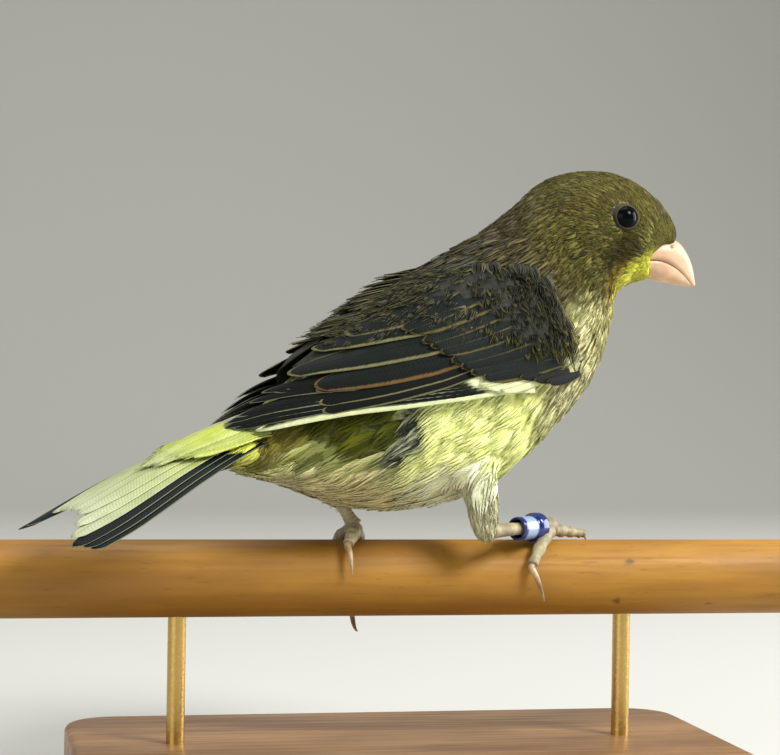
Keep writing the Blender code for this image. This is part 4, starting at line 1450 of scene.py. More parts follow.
class WingSheet:
    """The surface on which a folded wing lies, read quickly from a grid."""

    def __init__(self) -> None:
        """Works out points and normals over the body."""
        self.step = 0.5
        self.x = np.arange(-48.0, 24.01, self.step)
        self.s = np.arange(0.0, 46.01, self.step)
        t = np.linspace(0, math.pi, 181)
        up = np.sign(np.cos(t)) * np.abs(np.cos(t)) ** (2 / BODY_POWER)
        out = np.abs(np.sin(t)) ** (2 / BODY_POWER)
        spots = np.zeros((len(self.x), len(self.s), 3))
        for k, (top, bottom, half) in enumerate(read_table(WING_SHEET, self.x)):
            y = (top + bottom) / 2 + (top - bottom) / 2 * up
            w = half * out
            arc = np.concatenate([[0], np.cumsum(np.hypot(np.diff(y), np.diff(w)))])
            spots[k] = np.column_stack([np.full(len(self.s), self.x[k]), np.interp(self.s, arc, y), np.interp(self.s, arc, w)])
        normals = np.cross(np.gradient(spots, axis=0), np.gradient(spots, axis=1))
        normals = normals / (np.linalg.norm(normals, axis=2, keepdims=True) + 1e-9)
        flip = np.sign(normals[..., 1] * 0.5 + normals[..., 2])
        self.spots = spots
        self.normals = normals * np.where(flip == 0, 1.0, flip)[..., None]

    def place(self, x: np.ndarray, s: np.ndarray, h: np.ndarray, side: Side) -> np.ndarray:
        """Points over the sheet.

        Args:
            x: Along the body.
            s: Round the body from the back's middle line.
            h: Height over the sheet.
            side: Which wing.

        Returns:
            Points (f, l, z).
        """
        s = np.where(s > 2.6, s, 0.55 + 2.05 * np.exp((np.minimum(s, 2.6) - 2.6) / 2.05))
        i = np.clip((x - self.x[0]) / self.step, 0, len(self.x) - 1.001)
        j = np.clip(s / self.step, 0, len(self.s) - 1.001)
        a, b = i.astype(int), j.astype(int)
        u, v = (i - a)[..., None], (j - b)[..., None]

        def read(grid: np.ndarray) -> np.ndarray:
            """The grid's value at the wanted places."""
            low = grid[a, b] * (1 - v) + grid[a, b + 1] * v
            high = grid[a + 1, b] * (1 - v) + grid[a + 1, b + 1] * v
            return low * (1 - u) + high * u

        q = read(self.spots) + read(self.normals) * (h + 0.25)[..., None]
        return from_body(q[..., 0] + (x - np.clip(x, self.x[0], self.x[-1])), q[..., 1], side.value * q[..., 2])


@dataclass(frozen=True)
class WingTints:
    """Named colours of the folded wing."""

    black: tuple[float, float, float] = tint(8, 11, 7)
    brown: tuple[float, float, float] = tint(28, 27, 15)
    slate: tuple[float, float, float] = tint(14, 21, 17)
    buff: tuple[float, float, float] = tint(114, 110, 76)
    rufous: tuple[float, float, float] = tint(106, 82, 46)
    olive: tuple[float, float, float] = tint(92, 84, 46)
    moss: tuple[float, float, float] = tint(100, 92, 36)
    grey: tuple[float, float, float] = tint(112, 118, 96)
    cream: tuple[float, float, float] = tint(214, 220, 168)


@dataclass
class Wing:
    """One folded wing in overlapping tiers, denser than its solid."""

    side: Side
    sheet: WingSheet
    tints: WingTints = WingTints()
    flight: VanePattern = VanePattern(12, 30, 0, 0.62, 0.3, 0.55, 0.05, 0.13, 0.05, 0.8, 0.07)
    covert: VanePattern = VanePattern(12, 18, 2, 0.6, 0.45, 0.55, 0.05, 0.14, 0.06, 0.35, 0.1)
    plush: VanePattern = VanePattern(7, 6, 4, 0.55, 0.45, 0.4, 0.04, 0.16, 0.3, 0.8)
    tufts: int = 290

    def primaries(self) -> list[Plume]:
        """Nine primaries, the outermost with a cream outer web."""
        tips = [
            (-33.6, 6.6), (-36.4, 4.2), (-37.4, 3.0), (-36.6, 2.4), (-34.3, 2.9), (-31.6, 3.6), (-29.6, 4.6),
            (-27.8, 5.7), (-26.2, 7.0),
        ]
        rows = []
        for k, tip in enumerate(tips):
            edge = self.tints.cream if k < 1 else self.tints.grey
            mark = (0.8, 0.0, 0.02) if k == 0 else (0.13, 0.05, 0.012)
            base = (6.2 - 0.8 * k, 33.0 - 0.95 * k)
            half = 1.35 if k else 1.15
            rows.append(Plume(base, tip, half, (1.2, 1.3, 0.55), self.tints.cream, edge, mark, 0.25, self.tints.black))
        return rows

    def inner_flight(self) -> list[Plume]:
        """Secondaries and the big inner feathers that lie over them."""
        rows = []
        for k, tip in enumerate([(-24.6, 13.4), (-24.2, 12.4), (-23.6, 11.4)]):
            base = (0.2 + 0.45 * k, 25.4 - 1.0 * k)
            rows.append(Plume(base, tip, 1.5, (1.3, 1.45, 0.5), self.tints.black, self.tints.buff, (0.14, 0.0, 0.015)))
        t = self.tints
        for base, tip, half, rim, mark in (
            ((1.0, 22.6), (-22.8, 9.8), 2.3, t.rufous, (0.22, 0.1, 0.02)),
            ((2.4, 20.2), (-24.4, 5.6), 2.4, t.buff, (0.2, 0.12, 0.02)),
            ((4.0, 17.2), (-18.6, 4.8), 2.5, t.buff, (0.2, 0.14, 0.025)),
            ((5.0, 14.8), (-12.8, 6.2), 2.7, t.buff, (0.22, 0.16, 0.03)),
        ):
            rows.append(Plume(base, tip, half, (1.4, 1.8, 0.65), t.slate, rim, mark))
        return rows

    def coverts(self) -> list[Plume]:
        """Pale primary coverts, the black alula, greater and median coverts."""
        t = self.tints
        rows = []
        for k in range(5):
            u = k / 4
            tip = (-2.2 + 2.6 * u, 27.0 + 2.6 * u)
            rows.append(Plume((tip[0] + 9.0, tip[1] + 3.6 - u), tip, 1.2, (1.1, 1.6, 0.35), t.cream, t.cream, (0.2, 0.0, 0.1)))
        for k in range(3):
            tip = (4.4 + 1.9 * k, 29.9 + 1.5 * k)
            rows.append(Plume((tip[0] + 7.6, tip[1] + 2.6), tip, 0.95, (0.6, 1.8, 0.3), t.black, t.olive, (0.14, 0.0, 0.03)))
        for k in range(9):
            u = k / 8
            tip = (-1.2 - 5.2 * u**0.7, 26.2 - 13.6 * u)
            base = (tip[0] + 14.5, tip[1] + 5.4 - 2.0 * u)
            rows.append(Plume(base, tip, 1.7, (0.9, 1.9, 0.45), t.slate, t.olive, (0.3, 0.08, 0.03)))
        return rows

    def shoulder(self) -> list[Plume]:
        """Soft lesser coverts and scapulars, scattered and swept down at the front."""
        t = self.tints
        rng = np.random.default_rng(23)
        upper = np.array([(-14.0, 1.6), (-12.0, 1.6), (0.0, 3.0), (8.0, 6.4), (14.0, 11.0), (19.0, 16.0)])
        lower = np.array([(-14.0, 5.6), (-5.0, 11.8), (0.0, 15.2), (6.0, 20.6), (11.0, 28.4), (16.0, 31.6), (19.0, 27.0)])
        rows = []
        for _ in range(self.tufts):
            x = float(rng.uniform(-13.0, 19.0))
            low, high = np.interp(x, upper[:, 0], upper[:, 1]), np.interp(x, lower[:, 0], lower[:, 1])
            s = float(rng.uniform(low, high))
            front = float(smooth_step(x, 2.0, 13.0) * smooth_step(s, 5.0, 14.0))
            sweep = math.radians(8.0 + 44.0 * front + rng.normal(0.0, 8.0))
            length = float(rng.uniform(7.4, 9.6)) - 2.4 * front
            base = (x + length * 0.5 * math.cos(sweep), s - length * 0.5 * math.sin(sweep))
            tip = (x - length * 0.5 * math.cos(sweep), s + length * 0.5 * math.sin(sweep))
            near = float(1.0 - smooth_step(high - s, 0.8, 5.0)) * front
            rim = np.array(t.buff) * (0.72 - 0.3 * front) + (np.array(t.moss) - np.array(t.buff) * 0.5) * near
            rise = float(rng.uniform(-0.12, 0.12))
            rows.append(Plume(
                base, tip, float(rng.uniform(1.1, 1.55)), (-1.7, 2.0 + rise, 0.2), t.slate, tuple(rim), (0.4, 0.36, 0.12), 0.0,
            ))
        return sorted(rows, key=lambda row: row.tip[0])

    def place_plume(self, plume: Plume, cut: VaneCut, sway: float) -> np.ndarray:
        """Lays one feather on the sheet.

        Args:
            plume: The feather.
            cut: Its cut.
            sway: Small turn of it, in radians.

        Returns:
            Place of each of the cut's points.
        """
        base, tip = np.array(plume.base), np.array(plume.tip)
        along = tip - base
        length = float(np.linalg.norm(along))
        along = along / length
        c, s = math.cos(sway), math.sin(sway)
        along = np.array([along[0] * c - along[1] * s, along[0] * s + along[1] * c])
        across = np.array([-along[1], along[0]])
        if across[1] < 0:
            across = -across
        a, u = cut.points[:, 0], cut.points[:, 1]
        bow = plume.bow * 4 * u * (1 - u)
        flat = base + np.outer(u * length, along) + np.outer(bow + a * plume.half, across)
        root, end, fall = plume.heights
        h = root + (end - root) * u - fall * (1 - a) / 2 + cut.points[:, 2] * plume.half
        return self.sheet.place(flat[:, 0], flat[:, 1], h, self.side)

    def build(self) -> None:
        """Makes the flight feathers, the coverts and the lining under them."""
        crisp = FeatherFinish(f"wing_finish_{self.side.word}", 34.0, 0.6, 0.00003, 0.02, 0.3, 0.5, 0.0, 0.45).make()
        plush = FeatherFinish(f"shoulder_finish_{self.side.word}", 16.0, 0.7, 0.00004, 0.03, 0.3, 0.2, 0.45, 0.8).make()
        groups = (
            ("flight", self.primaries() + self.inner_flight(), self.flight, crisp),
            ("coverts", self.coverts(), self.covert, crisp),
            ("shoulder", self.shoulder(), self.plush, plush),
        )
        for group, plumes, pattern, finish in groups:
            rng = np.random.default_rng(11 + int(self.side.value) + len(plumes))
            batch = FeatherBatch()
            wide = math.ceil(math.sqrt(len(plumes)))
            for k, plume in enumerate(plumes):
                cut = pattern.cut(100 + k % 24)
                cut = mirrored(cut) if self.side is Side.RIGHT else cut
                points = self.place_plume(plume, cut, float(rng.normal(0.0, 0.012)))
                light = rng.uniform(0.85, 1.15)
                end = np.array(plume.web if plume.end_web is None else plume.end_web)
                share = smooth_step(cut.points[:, 1], 0.13, 0.17)[:, None]
                cell = 1.0 / wide
                patch = ((k % wide + 0.5) * cell, (k // wide + 0.5) * cell, cell * 0.9, cell * 0.9)
                web = (np.array(plume.web) * (1 - share) + end * share) * light
                web = np.column_stack([web, np.full(len(web), rng.uniform(0.0, 1.0))])
                rim = np.array([*(np.array(plume.rim) * rng.uniform(0.85, 1.15)), 1.0])
                mark = np.array(plume.mark) * rng.uniform(0.8, 1.2)
                batch.add(on_perch(points), cut, web, rim, mark, patch)
            piece = batch.join(f"plumage_wing_{self.side.word}_{group}", finish)
            add_to_frame(piece, "wing", *((f"wing_{self.side.word}",) if group == "flight" else ()))
        self.lining()

    def lining(self) -> None:
        """The wing's own flesh and inner coverts, a thin dark plate that fills the space beneath."""
        lower = np.array([
            (-22.0, 15.6), (-14.7, 21.4), (-9.0, 25.4), (-3.2, 29.4), (1.8, 32.0), (6.9, 34.2), (11.1, 34.8),
            (15.0, 32.6), (17.0, 29.0),
        ])
        upper = np.array([(-22.0, 1.8), (-12.0, 1.6), (0.0, 3.0), (8.0, 7.0), (14.0, 13.0), (17.0, 21.0)])
        bm = bmesh.new()
        bmesh.ops.create_grid(bm, x_segments=40, y_segments=24, size=1.0)

        def onto(points: np.ndarray) -> np.ndarray:
            """Moves the flat plate on to the sheet."""
            x = -22.0 + 38.5 * (points[:, 0] + 1) / 2
            low = np.interp(x, lower[:, 0], lower[:, 1]) - 1.2
            high = np.interp(x, upper[:, 0], upper[:, 1]) + 1.0
            s = high + (low - high) * (points[:, 1] + 1) / 2
            edge = smooth_step(1.0 - np.maximum(np.abs(points[:, 0]), np.abs(points[:, 1])), 0.0, 0.2)
            return on_perch(self.sheet.place(x, s, -0.3 + 0.75 * edge, self.side))

        place_all(bm, onto)
        bmesh.ops.recalc_face_normals(bm, faces=bm.faces)
        bmesh.ops.solidify(bm, geom=bm.faces[:], thickness=0.25)
        finish = HornFinish(f"lining_finish_{self.side.word}", tint(34, 36, 24), tint(22, 24, 16), roughness=0.8, soft=0.0)
        add_to_frame(to_object(f"lining_{self.side.word}", bm, finish.make()), "wing")


@dataclass(frozen=True)
class TailFeather:
    """One tail feather: rank from the middle, length, place of its tip, share of its web that is black."""

    rank: int
    length: float
    spread: float
    black: float


@dataclass
class Tail:
    """Twelve tail feathers in a shallow fork, the outer ones dark, and the coverts over their root."""

    root_f: float = -31.0
    root_z: float = 24.6
    pitch: float = math.radians(18.5)
    curve: float = math.radians(6.0)
    roll: float = math.radians(7.0)
    turn: float = math.radians(14.0)
    length: float = 43.0
    arch: float = 1.1
    feathers: dict[Side, tuple[TailFeather, ...]] = field(default_factory=lambda: {
        Side.RIGHT: (
            TailFeather(6, 42.2, 9.2, 1.0), TailFeather(5, 42.8, 8.4, 1.0), TailFeather(4, 44.0, 7.2, 0.75),
            TailFeather(3, 42.8, 5.4, 0.0), TailFeather(2, 40.6, 3.5, 0.0), TailFeather(1, 38.6, 1.3, 0.0),
        ),
        Side.LEFT: (
            TailFeather(6, 43.0, 9.8, 1.0), TailFeather(5, 42.2, 8.4, 1.0), TailFeather(4, 38.4, 6.4, 0.0),
            TailFeather(3, 38.0, 4.6, 0.0), TailFeather(2, 38.0, 2.9, 0.0), TailFeather(1, 38.2, 1.0, 0.0),
        ),
    })
    pattern: VanePattern = VanePattern(14, 36, 0, 0.42, 0.62, 0.5, 0.03, 0.06, 0.05, 0.8, 0.05)
    cover: VanePattern = VanePattern(11, 14, 4, 0.55, 0.45, 0.5, 0.04, 0.14, 0.2, 0.6, 0.1)
    yellow: tuple[float, float, float] = tint(172, 182, 80)
    cream: tuple[float, float, float] = tint(164, 172, 122)
    white: tuple[float, float, float] = tint(178, 184, 148)
    black: tuple[float, float, float] = tint(8, 16, 15)
    pale: tuple[float, float, float] = tint(112, 118, 90)

    def place(self, a: np.ndarray, w: np.ndarray, h: np.ndarray) -> np.ndarray:
        """Points of the tail.

        Args:
            a: Behind the tail's root.
            w: To the bird's left.
            h: Over the tail's middle surface.

        Returns:
            Points (f, l, z).
        """
        bend = self.curve * a / self.length
        slope = self.pitch + bend / 2
        f = -a * np.cos(slope)
        z = self.root_z - a * np.sin(slope) + self.arch * smooth_step(a, 0.0, 8.0) * (1.0 - smooth_step(a, 20.0, 43.0))
        up_f, up_z = -np.sin(self.pitch + bend), np.cos(self.pitch + bend)
        c, s = math.cos(self.roll), math.sin(self.roll)
        h = h - 0.010 * w * w
        across = w * s + h * c
        q = np.stack([f + up_f * across, w * c - h * s, z + up_z * across], axis=-1)
        c, s = math.cos(self.turn), math.sin(self.turn)
        return np.stack([self.root_f + q[..., 0] * c - q[..., 1] * s, q[..., 0] * s + q[..., 1] * c, q[..., 2]], axis=-1)

    def root_ribs(self, sides: int, depth: float) -> list[np.ndarray]:
        """Sections of the flesh and down at the tail's root, for the skin.

        Args:
            sides: Points round each.
            depth: How far they lie inside the solid.

        Returns:
            Rings of points (f, l, z).
        """
        x = -34.5
        top, bottom, half = read_table(BODY, x)[0]
        first = from_body(np.array([x, x]), np.array([top - depth, bottom + depth]), 0.0)
        rings = [rib(first[0], first[1], half - depth, 2.1, sides)]
        t = np.linspace(0, 2 * math.pi, sides, endpoint=False)
        u = 0.5 + 0.5 * np.cos(t)
        for a_top, a_low, high, low, wide in (
            (7.0, 5.3, 2.5, -4.1, 6.85), (9.5, 7.5, 2.2, -3.6, 6.7), (14.5, 13.0, 1.6, -2.6, 6.0),
            (18.5, 18.0, 0.9, -1.6, 4.4),
        ):
            side = -(wide - depth) * np.sin(t)
            rings.append(self.place(a_low + (a_top - a_low) * u, side, low + depth + (high - low - 2 * depth) * u))
        return rings

    def build(self) -> None:
        """Makes the twelve feathers and the upper coverts as two pieces."""
        batch = FeatherBatch()
        rng = np.random.default_rng(5)
        for side in Side:
            for spot, feather in enumerate(self.feathers[side]):
                cut = self.pattern.cut(300 + feather.rank)
                cut = mirrored(cut) if side is Side.RIGHT else cut
                u, across = cut.points[:, 1], cut.points[:, 0]
                base = 5.0 * (feather.rank - 0.5) / 5.5
                a = 5.0 + (feather.length - 5.0) * u
                w = side.value * (base + (feather.spread - base) * (0.85 * u + 0.15 * u * u) + across * 2.6)
                h = 2.0 - 0.3 * feather.rank + cut.points[:, 2] * 2.6
                blend = smooth_step(u, 0.2, 0.62)[:, None]
                end = smooth_step(u, 0.6, 0.95)[:, None]
                light = np.array(self.yellow) * (1 - blend) + np.array(self.cream) * blend
                light = light * (1 - end) + np.array(self.white) * end
                dark = smooth_step(across, 0.98 - 2.0 * feather.black, 1.02 - 2.0 * feather.black)
                dark = (dark if feather.black else np.zeros(len(u)))[:, None]
                web = (light * (1 - dark) + np.array(self.black) * dark) * rng.uniform(0.94, 1.05)
                web = np.column_stack([web, np.full(len(u), rng.uniform(0.3, 0.7))])
                mark = np.array([0.04, 0.0, 0.004]) if feather.black else np.array([0.04, 0.04, 0.01])
                rim = np.array([*(self.pale if feather.black else self.white), 1.0])
                cell = 0.25
                index = spot * 2 + (side is Side.LEFT)
                patch = ((index % 4 + 0.5) * cell, (index // 4 + 0.5) * cell, cell * 0.9, cell * 0.9)
                batch.add(on_perch(self.place(a, w, h)), cut, web, rim, mark, patch)
        finish = FeatherFinish("tail_finish", 60.0, 0.6, 0.00003, 0.03, 0.16, 0.35, 0.0, 0.25).make()
        add_to_frame(batch.join("plumage_tail", finish), "tail", "tail")
        self.coverts(rng)

    def coverts(self, rng: np.random.Generator) -> None:
        """Long yellow coverts over the tail's root, and buff ones under it.

        Args:
            rng: The draw.
        """
        batch = FeatherBatch()
        count = 34
        for k in range(count):
            over = k < 20
            cut = self.cover.cut(400 + k % 12)
            u = (k + 0.5) / 20 if over else (k - 19.5) / 14
            across = (2 * u - 1) if over else (1 - 2 * u)
            middle = 5.0 * across + rng.normal(0.0, 0.25)
            reach = 25.0 - 7.0 * abs(across) + rng.uniform(-1.6, 1.6)
            start = 1.0 + rng.uniform(-1.0, 2.0)
            along = cut.points[:, 1]
            a = start + (reach - start) * along
            w = middle * (1.0 - 0.1 * along) + cut.points[:, 0] * 1.9
            rise = (3.0 - 1.9 * across**2) * (1 - along) + 2.25 * along
            if over:
                h = rise + cut.points[:, 2] * 1.9
                web, rim = tint(164, 174, 66), tint(184, 192, 90)
            else:
                cut = mirrored(cut)
                h = -(3.6 - 1.6 * across**2) * (1 - along) - 1.5 * along - cut.points[:, 2] * 1.9
                web, rim = tint(132, 120, 78), tint(206, 198, 152)
            fade = smooth_step(a, 13.0, 24.0)[:, None] * (1.0 if over else 0.0)
            web = np.array(web) * (1 - fade) + np.array(self.cream) * fade
            sides = float(smooth_step(abs(across), 0.55, 0.9)) * (1.0 - smooth_step(a, 12.0, 17.0))
            brown = np.maximum(1.0 - smooth_step(a, 5.0, 10.0), sides)[:, None] * (1.0 if over else 0.0)
            web = web * (1 - brown) + np.array(tint(92, 84, 32)) * brown
            rim = web[-1] * 1.15
            web = np.column_stack([web * rng.uniform(0.9, 1.08), np.full(len(a), rng.uniform(0.0, 1.0))])
            patch = ((k % 6 + 0.5) / 6, (k // 6 + 0.5) / 6, 0.15, 0.15)
            mark = np.array([0.5, 0.5, 0.1])
            batch.add(on_perch(self.place(a, w, h)), cut, web, np.array([*rim, 1.0]), mark, patch)
        finish = FeatherFinish("tail_covert_finish", 20.0, 0.68, 0.00003, 0.03, 0.2, 0.1, 0.35, 0.7).make()
        add_to_frame(batch.join("plumage_tail_coverts", finish), "tail")


def head_half(f: float, z: float) -> float:
    """Half width of the head at a point of its middle plane.

    Args:
        f: Forward.
        z: Up.

    Returns:
        The half width.
    """
    x, y = to_body(np.array([f, 0.0, z]))
    best = (1e9, 0.0)
    for a, b in zip(HEAD[:-1], HEAD[1:]):
        for u in np.linspace(0, 1, 9):
            row = a + (b - a) * u
            line = row[0:2] - row[2:4]
            share = float(np.clip(((x, y) - row[2:4]) @ line / (line @ line), 0, 1))
            off = float(np.linalg.norm(row[2:4] + line * share - (x, y)))
            if off < best[0]:
                best = (off, row[4] * (1 - abs(2 * share - 1) ** 2.1) ** (1 / 2.1))
    return best[1]


@dataclass
class Bill:
    """Both halves of the closed bill, smooth, with nostrils."""

    segments: int = 36
    stations: int = 40
    upper: tuple[tuple[float, ...], ...] = (
        (40.6, 58.6, 36.0, 54.35, 4.3), (42.8, 57.6, 38.6, 54.35, 3.85), (44.2, 55.9, 40.9, 53.7, 3.0),
        (45.1, 54.1, 42.9, 52.5, 2.15), (45.6, 52.3, 44.5, 51.2, 1.3), (45.95, 50.35, 45.7, 50.15, 0.42),
    )
    lower: tuple[tuple[float, ...], ...] = (
        (36.2, 54.15, 37.4, 51.5, 4.0), (38.6, 54.15, 38.7, 50.85, 3.6), (40.85, 53.5, 40.8, 50.55, 2.8),
        (42.8, 52.32, 42.6, 50.25, 2.0), (44.3, 51.15, 44.1, 50.1, 1.2), (45.3, 50.3, 45.0, 50.05, 0.45),
    )

    def half(self, rows: tuple[tuple[float, ...], ...], arch: bool, sink: float) -> list[np.ndarray]:
        """Sections of one half.

        Args:
            rows: Top f and z, bottom f and z, half width.
            arch: True for the upper half.
            sink: How far the mouth's line is drawn in toward the other half.

        Returns:
            Rings of points (f, l, z).
        """
        table = np.column_stack([np.arange(len(rows)), np.array(rows)])
        steps = np.linspace(0, len(rows) - 1, self.stations)
        t = np.linspace(0, math.pi, self.segments // 2)
        rings = []
        for ft, zt, fb, zb, wide in read_table(table, steps):
            top, bottom = np.array([ft, 0.0, zt]), np.array([fb, 0.0, zb])
            flat, peak = (bottom, top) if arch else (top, bottom)
            out = np.sign(np.cos(t)) * np.abs(np.cos(t)) ** 0.9
            ring = flat + np.outer(np.sin(t) ** 0.92, peak - flat)
            ring[:, 1] = out * wide
            base = flat + (flat - peak) / np.linalg.norm(peak - flat) * sink
            inner = np.array([base + np.array([0.0, wide * s, 0.0]) for s in np.linspace(-0.86, 0.86, 9)])
            rings.append(np.concatenate([ring, inner]))
        return rings

    def build(self) -> None:
        """Makes both halves and cuts the nostrils."""
        finish = HornFinish("bill_finish", tint(222, 186, 150), tint(196, 158, 126), (1.0, 1.0, 0.4), 0.34, 0.00002).make()
        for name, rows, arch in (("horn_upper", self.upper, True), ("horn_lower", self.lower, False)):
            bm = bmesh.new()
            loft(bm, [head_set(r) for r in self.half(rows, arch, 0.12)])
            piece = to_object(name, bm, finish)
            if arch:
                self.cut_nostrils(piece)
            add_to_frame(piece, "bill", "bill_upper" if arch else "bill_lower")

    def cut_nostrils(self, piece: bpy.types.Object) -> None:
        """Cuts an oval nostril into each side.

        Args:
            piece: The upper half.
        """
        for side in Side:
            bm = bmesh.new()
            path = np.array([(41.0, side.value * 4.2, 57.2), (40.8, side.value * 3.2, 56.7), (40.6, side.value * 2.2, 56.3)])
            loft(bm, [head_set(r) for r in tube_ribs(path, [0.5, 0.42, 0.3], 20, 0.7)])
            tool = to_object("nostril_tool", bm, piece.data.materials[0])
            modifier = piece.modifiers.new("nostril", "BOOLEAN")
            modifier.operation = "DIFFERENCE"
            modifier.object = tool
            modifier.solver = "EXACT"
            bake_modifiers(piece)
            bpy.data.objects.remove(tool)


@dataclass
class Eyes:
    """Dark glossy eyes in bare rings of lid."""

    radius: float = 2.2
    depth: float = 1.2
    lid: tuple[tuple[float, float], ...] = (
        (1.80, 1.18), (1.81, 1.30), (1.88, 1.38), (1.98, 1.37), (2.06, 1.26), (2.12, 1.12), (2.22, 0.98),
        (2.34, 0.80), (2.46, 0.52), (2.40, 0.20), (2.00, 0.40), (1.84, 0.90),
    )

    @property
    def centre_l(self) -> float:
        """How far each eye's centre lies from the middle."""
        return head_half(EYE_F, EYE_Z) - self.depth

    def axes(self, side: Side) -> Matrix:
        """Place of an eye, its own z looking outward.

        Args:
            side: Which eye.

        Returns:
            Its matrix in the bird's straight frame.
        """
        out = Vector((0.16, side.value, 0.06)).normalized()
        up = Vector((0.0, 0.0, 1.0))
        ahead = up.cross(out).normalized()
        up = out.cross(ahead)
        turn = Matrix((ahead, up, out)).transposed().to_4x4()
        return Matrix.Translation((EYE_F, side.value * self.centre_l, EYE_Z)) @ turn

    def build(self) -> None:
        """Makes eyeballs and lids."""
        ball = self.iris()
        rim = HornFinish("lid_finish", tint(58, 55, 26), tint(34, 32, 14), roughness=0.85, depth=0.00006, soft=0.05).make()
        for side in Side:
            bm = bmesh.new()
            bmesh.ops.create_uvsphere(bm, u_segments=64, v_segments=40, radius=self.radius)
            bm.transform(self.axes(side))
            place_all(bm, head_set)
            add_to_frame(to_object(f"eyeball_{side.word}", bm, ball), "eye", f"eye_{side.word}")
            bm = bmesh.new()
            made = [bm.verts.new((r, 0.0, h)) for r, h in self.lid]
            edges = [bm.edges.new((a, b)) for a, b in zip(made, made[1:] + made[:1])]
            bmesh.ops.spin(
                bm, geom=made + edges, cent=(0, 0, 0), axis=(0, 0, 1), angle=2 * math.pi, steps=96, use_merge=True,
            )
            for vert in bm.verts:
                turn = math.atan2(vert.co.y, vert.co.x)
                out = math.hypot(vert.co.x, vert.co.y)
                crease = 0.03 * math.sin(turn * 26.0) * smooth_step(out, 1.9, 2.2)
                vert.co.z += float(crease)
                grow = 1.0 + 0.07 * max(0.0, math.cos(turn)) ** 6 + 0.07 * max(0.0, -math.cos(turn)) ** 6
                vert.co.x *= 1.0 + (grow - 1.0) * float(smooth_step(out, 1.7, 2.2))
            bm.transform(self.axes(side))
            place_all(bm, head_set)
            add_to_frame(to_object(f"lid_{side.word}", bm, rim), "head")

    def iris(self) -> bpy.types.Material:
        """The eye's finish: near black, scuffed at random with very dark brown."""
        return GlossFinish("eye_finish", tint(5, 6, 10), 0.06, 0.0, 0.0, 0.02, tint(9, 8, 8), 0.06).make()


